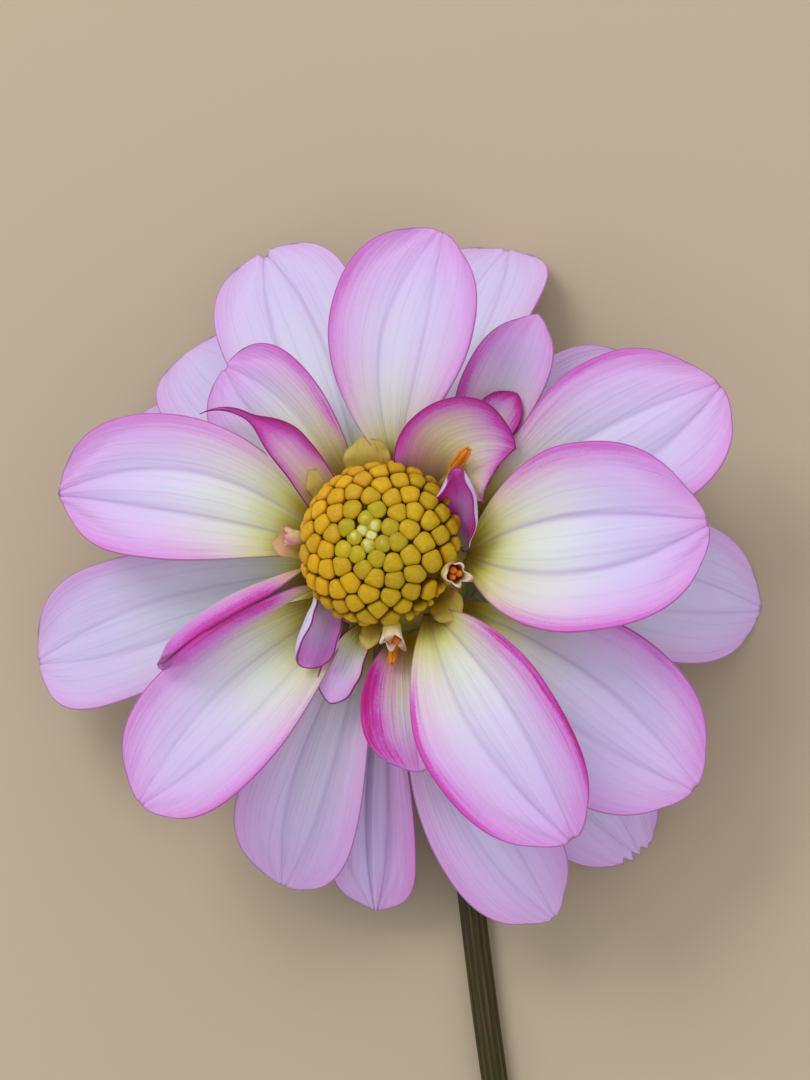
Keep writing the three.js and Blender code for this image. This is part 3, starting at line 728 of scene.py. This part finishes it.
discPaint = {
    # side and gap are painted shade on the buds, the highlight colour is painted light on their tops, and
    # gold is partly painted light
    "gap": paint(124, 84, 0), "side": paint(166, 122, 0), "olive": paint(184, 150, 0),
    "gold": paint(216, 160, 0), "young": paint(182, 164, 12), "pale": paint(216, 222, 150),
    "paintedHighlight": paint(230, 196, 24),
}
discSteps = {
    # where each colour starts and is full: up a bud, or with how young it is
    # the side and gap colours paint shade down each bud's sides and at its foot, and the highlight colour
    # paints light on its top
    "young": (0.05, 0.6), "pale": (0.84, 1.08), "side": (0.25, 0.7), "gap": (0.1, 0.36), "paintedHighlight": (0.75, 1.1),
    "paintedHighlightShare": 0.3,
    "level": 0.86, "levelByBud": 0.22, "levelByGrain": 0.2,    # brightness
}


def domePoint(polar, az, inset=0.0):
    # half an egg: polar is the angle from the apex
    across = (disc["radius"] - inset) * np.sin(polar)
    height = disc["centre"] + (disc["height"] - inset) * np.cos(polar)
    return np.stack([across * np.cos(az), across * np.sin(az), height + 0 * az], -1)


def domeFrame(polar, az):
    # columns: towards the rim, round the dome, and straight out of it
    flare = np.sin(polar) / disc["radius"]
    upright = np.cos(polar) / disc["height"] + 0 * az
    out = unit(np.stack([flare * np.cos(az), flare * np.sin(az), upright], -1))
    sideways = np.stack([-np.sin(az), np.cos(az), 0 * az], -1)
    return np.stack([np.cross(sideways, out), sideways, out], -1)


def discFinish():
    # olive-gold buds with painted shade down their sides and at their feet, golden on older buds
    # and more so towards the left rim as painted light from the key light's side, a painted
    # highlight on each top, green and then nearly white at the apex, each a little different
    steps = discSteps
    finish = Finish("disc_florets", Roughness=0.42, Subsurface_Weight=0.2, Subsurface_Radius=(0.9, 0.6, 0.1),
                    Subsurface_Scale=0.001, Specular_IOR_Level=0.22, Coat_Weight=0.05, Coat_Roughness=0.25)
    top = finish.field("top")
    young = finish.field("young")
    fine = finish.noise(finish.place(), 900)
    grain = fine - 0.5
    bright = young + (top - 0.8) * 0.9 + grain * 0.5
    colour = finish.layers(
        discPaint, "olive", ("gold", finish.field("gold")), ("young", finish.step(young, *steps["young"])),
        ("pale", finish.step(bright, *steps["pale"])))
    # painted shade: darker down each bud's sides, and darkest at its foot where the buds meet
    colour = finish.blend(discPaint["side"], colour, finish.step(top + grain * 0.25, *steps["side"]))
    colour = finish.blend(discPaint["gap"], colour, finish.step(top + young * 0.4, *steps["gap"]))
    # painted highlight: lighter on each bud's top
    paintedHighlight = finish.step(top + grain * 0.5, *steps["paintedHighlight"]) * steps["paintedHighlightShare"]
    colour = finish.blend(colour, discPaint["paintedHighlight"], paintedHighlight)
    level = steps["level"] + finish.field("chance") * steps["levelByBud"] + grain * steps["levelByGrain"]
    shade = finish.node("ShaderNodeVectorMath", {"operation": "SCALE"}, {0: colour, "Scale": level})
    return finish.done(Base_Color=shade, Normal=finish.bump(fine, 0.00015, 0.4))


def budPlaces(chance):
    # Buds spiral out by the golden angle, and their angle from the apex is a power of their
    # number, so a bud's width follows from how much of the dome it gets.
    number = np.arange(disc["florets"])
    share = (number + 0.5) / disc["florets"]
    sweep, stray = np.radians(disc["sweep"]), disc["stray"]
    polar = sweep * share ** disc["crowd"]
    pace = sweep * disc["crowd"] * share ** (disc["crowd"] - 1) / disc["florets"]
    width = disc["radius"] * np.sqrt(2 * np.pi * np.sin(polar) * pace)
    polar = polar + chance.uniform(-stray, stray, number.size) * width / disc["radius"]
    az = number * golden + chance.uniform(-stray, stray, number.size) * width / disc["radius"] / np.sin(polar)
    opened = openFlorets.values()
    openAt = domePoint(*(np.radians([one[key] for one in opened]) for key in ("polar", "az")))
    berth = disc["room"] * np.array([one.get("size", 1) for one in opened])
    apart = np.linalg.norm(domePoint(polar, az)[:, None] - openAt, axis=-1)
    clear = (apart > width[:, None] * berth).all(1)
    return polar[clear], az[clear], width[clear]


def cellReach(centres, frames, angles, widest, corner):
    # How far each bud reaches in each direction: half way to its neighbours, by a soft minimum
    # whose power rounds the corners, and never more than widest.
    offsets = np.einsum("nmi,nij->nmj", centres[None] - centres[:, None], frames)[..., :2]
    apart = np.linalg.norm(offsets, axis=-1)
    np.fill_diagonal(apart, 1e9)    # a bud is no neighbour of its own
    facing = np.einsum("nmj,jk->nmk", offsets / apart[..., None], np.stack([np.cos(angles), np.sin(angles)]))
    nearness = (2 * np.clip(facing, 0, 1) / apart[..., None]) ** corner
    return (nearness.sum(1) + (1 / widest[:, None]) ** corner) ** (-1 / corner)


def budPoints(polar, az, width, young, chance):
    # Each bud is a rounded cell that fills its place among its neighbours, a blunt superellipse
    # in section, with faint slits meeting at its top. The youngest are round and pointed.
    centres, frames = domePoint(polar, az), domeFrame(polar, az)
    tall = width * (bud["tall"] + (bud["youngTall"] - bud["tall"]) * young)
    tall = tall * chance.uniform(*bud["tallness"], width.size)
    angles = fullTurn(bud["sides"])
    reach = cellReach(centres, frames, angles, bud["most"] * width, bud["corner"])
    reach = reach * (bud["gap"] + bud["youngGap"] * young[:, None])
    reach = reach + (reach.mean(1, keepdims=True) - reach) * young[:, None]
    rise = np.radians(np.linspace(*bud["angles"], bud["rings"]))
    power = 2 / bud["full"]
    spread = np.cos(rise) ** power
    crown = bud["equator"] + (1 - bud["equator"]) * np.abs(np.sin(rise)) ** power
    height = np.where(rise > 0, crown, bud["equator"] + bud["foot"] * np.sin(rise))
    slits = bud["slit"] * (0.5 - 0.5 * np.cos(bud["slits"] * angles[None] + bud["slitTurn"] * young[:, None]))
    level = height[None, :, None] - slits[:, None] * np.clip(height, 0, 1)[None, :, None] ** 3
    level = level + bud["spire"] * (young[:, None, None] ** 2) * (1 - spread[None, :, None])
    radius = reach[:, None] * (spread[None] ** (1 + bud["steep"] * young[:, None]))[..., None]
    rings = np.stack([radius * np.cos(angles), radius * np.sin(angles), level * tall[:, None, None]], -1)
    foot = np.stack([0 * tall, 0 * tall, height[0] * tall], -1)[:, None]
    peak = np.stack([0 * tall, 0 * tall, (1 - bud["slit"] + bud["spire"] * young ** 2) * tall], -1)[:, None]
    local = np.concatenate([foot, rings.reshape(tall.size, -1, 3), peak], 1)
    local[..., 0] -= disc["lean"] * np.sin(polar)[:, None] * np.clip(local[..., 2], 0, None)
    top = np.concatenate([height[:1], np.repeat(height, bud["sides"]), [1]])
    return centres[:, None] + np.einsum("nij,npj->npi", frames, local), top


def addDisc():
    # the buds, and the core that they stand on, a smaller dome
    chance = np.random.default_rng(7)
    polar, az, width = budPlaces(chance)
    young = 1 - eased(np.degrees(polar) / disc["youngTo"])
    points, top = budPoints(polar, az, width, young, chance)
    count, each = points.shape[:2]
    x, y, _ = domePoint(polar, az).T
    leftward, upward = disc["litGoldOver"]
    # older buds turn golden, and more so to the left and up, where the gold is painted light from the key
    # light's side
    gold = np.clip(0.5 - x / leftward + y / upward, 0, 1) * (1 - young) * chance.uniform(0.7, 1.1, count)
    fields = {
        "top": np.tile(top, count), "young": np.repeat(young, each), "gold": np.repeat(gold, each),
        "chance": np.repeat(chance.uniform(0, 1, count), each),
    }
    starts = np.arange(count) * each
    faces = [(group[None] + starts[:, None, None]).reshape(-1, group.shape[1])
             for group in ringFaces(bud["rings"], bud["sides"])]

    core = disc["core"]
    angle = np.radians(np.linspace(*core["angles"], core["rings"]))[:, None]
    around = fullTurn(core["sides"])[None, :]
    inner = domePoint(angle + 0 * around, around + 0 * angle, core["inset"]).reshape(-1, 3)
    apex = disc["centre"] + disc["height"] - core["inset"]
    inner = np.vstack([[0, 0, inner[:, 2].min()], inner, [0, 0, apex]])
    faces += [group + count * each for group in ringFaces(core["rings"], core["sides"])]
    fields = {name: np.concatenate([values, np.zeros(len(inner))]) for name, values in fields.items()}
    points = np.vstack([points.reshape(-1, 3), inner])
    addPiece("disc_bloom", points, faces, discFinish(), "disc_florets", fields)
    print("disc florets:", count)


funnel = {
    "base": 0.1, "top": 4.0, "sides": 40,
    "tube": 0.8, "belly": 1.4, "mouth": 1.35, "wall": 0.18,    # radii from the foot up
    "lobes": 5, "lobe": 1.0, "flare": 0.55,                    # how many, how tall and how flared
    "uneven": 0.5, "threeSided": 0.04,
}
rods = {
    # the anthers that stand in an open floret
    "at": (0.3, 2.4, 4.5), "radius": 0.5, "top": 4.9, "rings": 12, "sides": 12,
    "off": 0.45, "apart": 0.15, "lengths": (0.85, 1.05),
}
floretPaint = {
    "cream": paint(234, 216, 186), "tube": paint(206, 190, 86), "throat": paint(168, 96, 66),
    "edge": paint(176, 96, 84), "flush": paint(226, 150, 150),
    "anther": paint(222, 126, 14), "antherTip": paint(128, 48, 26),
}


def floretFinish():
    # cream lobes on a yellow tube, a red-brown ring inside and on the lobes' ends, orange anthers
    finish = Finish("open_florets", Roughness=0.45, Subsurface_Weight=0.2, Subsurface_Radius=(0.9, 0.6, 0.4),
                    Subsurface_Scale=0.001)
    fine = finish.noise(finish.place(), 1500)
    grain = (fine - 0.5) * 0.3
    broad = finish.noise(finish.place(), 500, 2)
    height = finish.field("height")
    colour = finish.layers(
        floretPaint, "tube", ("cream", finish.step(height + (broad - 0.5) * 0.8, 0.55, 1.0)),
        ("flush", finish.field("flush") * finish.step(broad, 0.2, 0.6)),
        ("edge", finish.step(height + (broad - 0.5) * 0.6, 1.12, 1.3) * 0.8),
        ("throat", finish.field("inside") * finish.step(1.2 - height + grain, 0.1, 0.35)))
    rod = finish.layers(floretPaint, "anther", ("antherTip", finish.step(height + grain, 1.1, 1.4)))
    colour = finish.blend(colour, rod, finish.field("column"))
    return finish.done(Base_Color=colour, Normal=finish.bump(fine, 0.0001, 0.4))


def funnelProfile():
    # Radius, height and side of the wall's section, one row a ring: up the outside, where the
    # tube swells to a belly and draws in to the mouth, and back down the inside.
    f = funnel

    def girth(u):
        swell = (f["belly"] - f["tube"]) * eased(u / 0.6)
        return f["tube"] + swell - (f["belly"] - f["mouth"]) * eased((u - 0.65) / 0.35)

    up, down = np.linspace(0, 1, 16)[:, None], np.linspace(1, 0.3, 10)[:, None]
    outside = np.hstack([girth(up), up, 0 * up])
    return np.vstack([outside, np.hstack([girth(down) - f["wall"], down, 1 + 0 * down])])


def funnelRings(profile, turn, chance):
    # the section carried round, with lobes that rise from the mouth and flare out: a root of a
    # raised cosine, taller towards two opposite sides
    f = funnel
    around = fullTurn(f["sides"])[None, :]
    uneven = 1 + f["uneven"] * np.cos(2 * around + chance.uniform(0, 6))
    lobes = np.clip(0.5 + 0.5 * np.cos(f["lobes"] * around), 0, 1) ** 0.7
    lobes = lobes * uneven * eased((profile[:, 1:2] - 0.7) / 0.3)
    radius = profile[:, :1] * (1 + f["flare"] * lobes) * (1 + f["threeSided"] * np.cos(3 * around + 1))
    height = f["base"] + (f["top"] - f["base"]) * profile[:, 1:2] + f["lobe"] * lobes
    return ringPoints(radius, around + turn, height)


def rodRings(spot, bottom, stretch):
    # a thin rod with a wavy outline and a rounded end, leaning out from the funnel's axis
    share = np.linspace(0, 1, rods["rings"])[:, None]
    around = fullTurn(rods["sides"])[None, :]
    thick = rods["radius"] * (0.8 + 0.2 * np.cos(9 * share)) * np.clip((1.02 - share) * 6, 0.1, 1)
    height = bottom + (rods["top"] - bottom) * share * stretch
    off = rods["off"] + rods["apart"] * share
    return ringPoints(thick, around, height) + ringPoints(off, spot + 0 * around, 0 * height)


def addOpenFlorets():
    # a funnel and the anthers in it, each closed by a point at either end, and tilted on the dome
    finish = floretFinish()
    chance = np.random.default_rng(11)
    profile = funnelProfile()
    bottom = funnel["base"] + (funnel["top"] - funnel["base"]) * profile[-1, 1]
    for name, one in openFlorets.items():
        turn, size = np.radians(one["turn"]), one.get("size", 1)
        rings = funnelRings(profile, turn, chance)
        meshes = [np.vstack([[0, 0, funnel["base"]], rings, [0, 0, bottom - 0.2]])]
        for spot in turn + np.array(rods["at"]):
            rod = rodRings(spot, bottom, chance.uniform(*rods["lengths"]))
            foot, end = rod[:rods["sides"]].mean(0), rod[-rods["sides"]:].mean(0)
            meshes.append(np.vstack([foot, rod, end]))
        starts = np.cumsum([0] + [len(mesh) for mesh in meshes[:-1]])
        faces = ringFaces(len(profile), funnel["sides"])
        for start in starts[1:]:
            faces += ringFaces(rods["rings"], rods["sides"], start)
        local = np.vstack(meshes) * size
        rest = len(local) - starts[1]
        fields = {
            "height": local[:, 2] / funnel["top"] / size, "flush": one.get("flush", 0),
            "inside": np.concatenate([[0], np.repeat(profile[:, 2], funnel["sides"]), [1], np.zeros(rest)]),
            "column": np.concatenate([np.zeros(starts[1]), np.ones(rest)]),
        }
        polar, az, tilt = (np.radians(one[key]) for key in ("polar", "az", "lift"))
        down, sideways, out = domeFrame(polar, az).T
        out = out * np.cos(tilt) - down * np.sin(tilt)
        axes = np.stack([np.cross(sideways, out), sideways, out])
        addPiece(f"{name}_funnel", domePoint(polar, az) + local @ axes, faces, finish,
                 one.get("node", name), fields)
    print("open florets:", len(openFlorets))


anthers = {
    # base, top and radius of the tubes of joined anthers that stand free at the disc's edge
    "anther_tube_01": dict(base=(8.9, 10.6, 2.2), top=(12.9, 13.4, 7.0), radius=0.9),
    "anther_tube_02": dict(base=(1.7, -13.0, 0.4), top=(2.2, -17.0, 2.6), radius=0.75),
}
antherPaint = {"orange": paint(236, 142, 16), "seam": paint(186, 84, 6), "foot": paint(236, 214, 110)}


def antherFinish():
    # bright orange with darker seams, pale at the foot
    finish = Finish("anthers", Roughness=0.5, Subsurface_Weight=0.2, Subsurface_Radius=(0.9, 0.5, 0.1),
                    Subsurface_Scale=0.001)
    fine = finish.noise(finish.place(), 1800)
    lower = finish.step(finish.field("along") + (fine - 0.5) * 0.3, 0.1, 0.4)
    colour = finish.layers(antherPaint, "orange", ("seam", finish.field("seam") * 0.8),
                           ("seam", finish.step(fine, 0.5, 0.75) * 0.6))
    colour = finish.blend(antherPaint["foot"], colour, lower)
    return finish.done(Base_Color=colour, Normal=finish.bump(fine, 0.00015, 0.5))


def addAnthers():
    # five joined anthers: a rod whose section is five-lobed, slimmer at the foot, drawn in at the end
    finish = antherFinish()
    rings, sides = 20, 40
    share = np.linspace(0, 1, rings)[:, None]
    around = fullTurn(sides)[None, :, None]
    lobes = np.abs(np.cos(2.5 * around[..., 0]))
    for name, one in anthers.items():
        base, top = np.array(one["base"]), np.array(one["top"])
        side = unit(np.cross(unit(top - base), (0, 0, 1)))
        across = np.cross(unit(top - base), side)
        girth = one["radius"] * (0.5 + 0.5 * eased(share / 0.35)) * (1 - 0.45 * eased((share - 0.85) / 0.15))
        radius = girth * (0.72 + 0.28 * lobes)
        along = share + 0.06 * lobes * share ** 6
        spread = radius[..., None] * (np.cos(around) * side + np.sin(around) * across)
        ring = base + along[..., None] * (top - base) + spread
        points = np.vstack([base, ring.reshape(-1, 3), base + (top - base) * 0.97])
        fields = {
            "along": np.concatenate([[0], np.broadcast_to(share, radius.shape).ravel(), [1]]),
            "seam": np.concatenate([[0], np.broadcast_to(1 - lobes, radius.shape).ravel() ** 2, [1]]),
        }
        addPiece(name, points, ringFaces(rings, sides), finish, None, fields)
    print("anther tubes:", len(anthers))


scaleShape = dict(seat=62, rise=42, tip=25, widest=0.55, shoulder=0.8, point=0.9, claw=1, cup=35, base=35,
                  end=20, thick=0.4, thin=0.14, wave=0.15)
scales = {
    "scale_01": dict(az=179, length=8, width=5.4, cup=80, flush=0.45),
    "scale_02": dict(az=104, length=7.8, width=7.5),
    "scale_03": dict(az=-41, length=7, width=5.4),
    "scale_04": dict(az=46, length=8, width=3, seat=65, rise=38),
    "scale_05": dict(az=-96, length=6, width=3.4),
    "scale_06": dict(az=137, length=7.5, width=5, node=None),
}
scaleCells = (30, 16)
scalePaint = {"pale": paint(216, 192, 92), "gold": paint(178, 138, 16), "brown": paint(140, 92, 40),
              "pink": paint(226, 150, 160)}


def scaleFinish():
    # pale yellow chaff, golden to the root, with brown veins and a browned margin
    finish = Finish("scales", Roughness=0.45, Subsurface_Weight=0.25, Subsurface_Radius=(0.9, 0.7, 0.3),
                    Subsurface_Scale=0.0012)
    across, along = finish.blade()
    streaks = finish.streaks(across * 18, along * 2, finish.field("seed"))
    worn = 1 - finish.step(finish.field("rim") + (streaks - 0.5) * 0.3, 0.05, 0.3)
    colour = finish.layers(
        scalePaint, "gold", ("pale", finish.step(along + (streaks - 0.5) * 0.4, 0.2, 0.8)),
        ("brown", finish.step(streaks, 0.55, 0.8) * 0.5),
        ("pink", finish.step(along + (streaks - 0.5) * 0.8, 0.45, 0.8) * finish.field("flush")),
        ("brown", worn * 0.45))
    return finish.done(Base_Color=colour, Normal=finish.bump(streaks, 0.0001, 0.5))


def addScales():
    # short blades between disc and petals
    finish = scaleFinish()
    for number, (name, blade) in enumerate(scales.items()):
        points, faces, fields, uv = closedBlade({**scaleShape, **blade}, *scaleCells, 50 + number)
        fields["flush"] = blade.get("flush", 0)
        addPiece(f"{name}_blade", points, [faces], finish, blade.get("node", name), fields, uv)
    print("scales:", len(scales))


neck = {"radius": 3.2, "swell": 0.1, "shoulder": 3.8, "top": -8.2, "bottom": -9.8,
        "flutes": 12, "fluteDepth": 0.012, "sides": 96}
greenBracts = dict(count=6, start=-50, cells=(30, 16), blade=dict(
    seat=-78, rise=-42, tip=-70, length=15, width=6.5, claw=1.8, cup=15, base=20, end=20, gap=-0.9,
    thick=0.6, thin=0.25, crease=0.25, wave=0.2, waves=2))
paperyBracts = dict(count=8, start=5, cells=(28, 24), blade=dict(
    seat=-47, rise=-12, tip=-24, length=15, width=12, widest=0.5, claw=5.2, cup=12, base=5, end=15, gap=1,
    thick=0.5, thin=0.18, crease=0.15, wave=0.35, waves=3))
bractPaint = {
    "green": paint(92, 122, 44), "deep": paint(58, 84, 30), "vein": paint(140, 160, 84),
    "flush": paint(110, 66, 60), "papery": paint(186, 188, 132), "clear": paint(214, 212, 176),
    "stripe": paint(154, 158, 92), "crown": paint(146, 122, 30),
}


def bractFinish(name, body, dark, vein, flush, veins):
    # body colour with darker streaks, pale veins along the blade and a flushed margin
    finish = Finish(name, Roughness=0.5, Subsurface_Weight=0.15, Subsurface_Radius=(0.5, 0.7, 0.2),
                    Subsurface_Scale=0.0015)
    across, along = finish.blade()
    streaks = finish.streaks(across * 14, along * 3, finish.field("seed"))
    mottle = finish.noise(finish.place(), 700)
    pulse = ((across * (2 * np.pi * veins)).math("COSINE") * 0.5 + 0.5) ** 10
    worn = 1 - finish.step(finish.field("rim") + (streaks - 0.5) * 0.6, 0.1, 0.9)
    colour = finish.layers(
        bractPaint, body, (dark, finish.step(streaks, 0.35, 0.75)), (vein, pulse * 0.6), (flush, worn * 0.6),
        (dark, finish.step(mottle, 0.5, 0.8) * 0.35), ("crown", finish.field("crown")))
    relief = streaks * 0.5 + pulse + mottle * 0.3
    return finish.done(Base_Color=colour, Normal=finish.bump(relief, 0.00015, 0.5))


def bractRing(ring, seed):
    # copies of one blade set evenly round the axis
    bearings = ring["start"] + 360 * np.arange(ring["count"]) / ring["count"]
    parts = [closedBlade({**ring["blade"], "az": az}, *ring["cells"], seed + i)
             for i, az in enumerate(bearings)]
    points, faces, fields, uv = zip(*parts)
    starts = np.cumsum([0] + [len(each) for each in points[:-1]])
    faces = np.vstack([each + start for each, start in zip(faces, starts)])
    fields = {name: np.concatenate([each[name] for each in fields]) for name in fields[0]}
    return np.vstack(points), faces, fields, np.vstack(uv)


def receptacleShape():
    # the neck's outline and then the rim's arc, turned round the axis, with a slight fluting
    arc = np.radians(np.linspace(-75, 90, 24))
    radius, height = rim["radius"] + rim["round"] * np.cos(arc), rim["height"] + rim["round"] * np.sin(arc)
    bulge = np.stack([radius, height], 1)
    outline = np.vstack([
        [neck["radius"], neck["bottom"]],
        [neck["radius"] + neck["swell"], (neck["bottom"] + neck["top"]) / 2],
        [neck["shoulder"], neck["top"]], bulge])
    around = fullTurn(neck["sides"])[None, :]
    radius = outline[:, :1] * (1 + neck["fluteDepth"] * np.cos(neck["flutes"] * around))
    rings = ringPoints(radius, around, outline[:, 1:])
    points = np.vstack([[0, 0, neck["bottom"]], rings, [0, 0, rim["height"] + rim["round"]]])
    return points, ringFaces(len(outline), neck["sides"])


def addBracts():
    # green bracts joined with receptacle and neck, and the papery ring above them
    green = bractFinish("bract_green", "green", "deep", "vein", "flush", 5)
    papery = bractFinish("bract_papery", "papery", "stripe", "clear", "clear", 11)
    points, faces, fields, uv = bractRing(greenBracts, 70)
    base, baseFaces = receptacleShape()
    fields = {name: np.concatenate([values, np.full(len(base), 2.0)]) for name, values in fields.items()}
    fields["crown"] = np.concatenate([np.zeros(len(points)), eased((base[:, 2] + 4) / 3)])
    baseUv = np.stack([np.arctan2(base[:, 1], base[:, 0]) / (2 * np.pi) + 0.5, base[:, 2] / 10], 1)
    allFaces = [faces] + [group + len(points) for group in baseFaces]
    addPiece("receptacle_with_bracts", np.vstack([points, base]), allFaces, green,
             "receptacle_and_green_bracts", fields, np.vstack([uv, baseUv]))
    points, faces, fields, uv = bractRing(paperyBracts, 90)
    addPiece("papery_bract_ring", points, [faces], papery, "papery_bracts", fields, uv)
    print("bracts:", greenBracts["count"] + paperyBracts["count"])


stem = {
    "radius": 1.85, "rib": 0.14, "ribs": 6, "drop": 0.9, "sunk": 0.3, "bearing": -80,
    "line": [(24, 0.6), (45, 0.6), (75, 1.0), (105, 2.5), (150, 6)],    # distance and sway
    "cut": ((0.8, 0.0), (0.45, 0.35)), "dish": 0.4,    # rings of the dished cut end: share of radius, depth
    "steps": 260, "sides": 72,
}
stemPaint = {"olive": paint(60, 56, 14), "dark": paint(38, 32, 8), "rib": paint(98, 94, 38),
             "pith": paint(206, 212, 160), "flush": paint(86, 48, 40)}


def smoothPath(points, steps):
    # centripetal Catmull-Rom curve through the points, evenly stepped in length
    points = np.asarray(points, float)
    points = np.vstack([2 * points[0] - points[1], points, 2 * points[-1] - points[-2]])
    knots = np.concatenate([[0], np.cumsum(np.linalg.norm(np.diff(points, axis=0), axis=1) ** 0.5)])
    pieces = []
    for i in range(1, len(points) - 2):
        t = np.linspace(knots[i], knots[i + 1], 24, endpoint=i == len(points) - 3)[:, None]
        k, p = knots[i - 1:i + 3], points[i - 1:i + 3]
        a = [((k[j + 1] - t) * p[j] + (t - k[j]) * p[j + 1]) / (k[j + 1] - k[j]) for j in range(3)]
        b = [((k[j + 2] - t) * a[j] + (t - k[j]) * a[j + 1]) / (k[j + 2] - k[j]) for j in range(2)]
        pieces.append(((k[2] - t) * b[0] + (t - k[1]) * b[1]) / (k[2] - k[1]))
    line = np.vstack(pieces)
    run = np.concatenate([[0], np.cumsum(np.linalg.norm(np.diff(line, axis=0), axis=1))])
    even = np.linspace(0, run[-1], steps)
    return np.stack([np.interp(even, run, line[:, i]) for i in range(3)], 1), even


def stemFinish():
    # dark olive with paler ribs, a brownish flush, fine streaks, and pale pith at the cut
    finish = Finish("stem", Roughness=0.55, Specular_IOR_Level=0.25)
    across, along = finish.blade()
    streaks = finish.streaks(across * 40, along * 14, 0, 4)
    broad = finish.noise(finish.place(), 60, 2)
    colour = finish.layers(
        stemPaint, "dark", ("olive", finish.step(streaks, 0.3, 0.7)),
        ("rib", finish.field("ridge") * finish.step(streaks, 0.2, 0.8) * 0.55),
        ("flush", finish.step(broad, 0.5, 0.75) * 0.45), ("pith", finish.field("pith")))
    return finish.done(Base_Color=colour, Normal=finish.bump(streaks, 0.00015, 0.6))


def addStem():
    # a ribbed section carried along the bent path and pressed flat on the surface
    bearing = np.radians(stem["bearing"])
    out = np.array([np.cos(bearing), np.sin(bearing), 0])
    aside = np.array([-np.sin(bearing), np.cos(bearing), 0])
    top = neck["bottom"] - stem["sunk"]
    low = surface + stem["radius"]
    bend = top - stem["drop"] - low
    turn = np.radians(np.arange(15, 91, 15))[:, None]
    arc = out * bend * (1 - np.cos(turn)) + [0, 0, 1] * (top - stem["drop"] - bend * np.sin(turn))
    lying = np.array([out * distance + aside * sway + [0, 0, low] for distance, sway in stem["line"]])
    path, run = smoothPath(np.vstack([[0, 0, top], [0, 0, top - stem["drop"]], arc, lying]), stem["steps"])
    forward = unit(np.gradient(path, axis=0))
    across = unit(np.cross(forward, np.cross(aside, forward)))
    normal = np.cross(forward, across)
    angle = fullTurn(stem["sides"])
    rise = (0.5 + 0.5 * np.cos(2 * stem["ribs"] * angle)) ** 1.5
    swell = 1 + 0.02 * np.sin(run / 9)[:, None]
    radius = (stem["radius"] - stem["rib"] + 2 * stem["rib"] * rise)[None] * swell
    rings = (path[:, None] + across[:, None] * (radius * np.cos(angle))[..., None]
             + normal[:, None] * (radius * np.sin(angle))[..., None])
    # the cut end closes over a shallow dished pith
    cut = [path[-1] + (rings[-1] - path[-1]) * share - forward[-1] * dish for share, dish in stem["cut"]]
    rings = np.concatenate([rings, np.array(cut)])
    rings[..., 2] = np.maximum(rings[..., 2], surface)
    count, sides = rings.shape[:2]
    points = np.vstack([path[:1], rings.reshape(-1, 3), path[-1:] - forward[-1:] * stem["dish"]])
    u = np.tile(angle / (2 * np.pi), count)
    v = np.repeat(np.concatenate([run, run[-1:], run[-1:]]) / run[-1], sides)
    uv = np.vstack([[0, 0], np.stack([u, v], 1), [0, 1]])
    ends = np.concatenate([np.zeros(stem["steps"] * sides), np.full(sides, 0.6), np.ones(sides)])
    ridge = np.concatenate([[0], np.tile(rise, count), [0]])
    fields = {"ridge": ridge, "pith": np.concatenate([[0], ends, [1]])}
    faces = [face[:, ::-1] for face in ringFaces(count, sides)]
    addPiece("stem_stalk", points, faces, stemFinish(), "stem", fields, uv)
    print("stem:", round(float(run[-1])), "mm")


def addFloor():
    # one square, its colour barely uneven
    half = room["floorSize"] / 2
    finish = Finish("floor", Roughness=0.9, Specular_IOR_Level=0.2)
    pale = paint(*room["floor"])
    darker = (*(room["floorShade"] * np.array(pale[:3])).tolist(), 1)
    tone = finish.noise(finish.place(), 3, 2)
    mesh = bpy.data.meshes.new("floor")
    corners = [(-half, -half, 0), (half, -half, 0), (half, half, 0), (-half, half, 0)]
    mesh.from_pydata(corners, [], [(0, 1, 2, 3)])
    mesh.materials.append(finish.done(Base_Color=finish.blend(darker, pale, tone)))
    obj = bpy.data.objects.new("floor", mesh)
    bpy.context.collection.objects.link(obj)


addCamera()
addLights()
addFloor()
print("camera, lights and floor")
addPetals()
addDisc()
addOpenFlorets()
addAnthers()
addScales()
addBracts()
addStem()
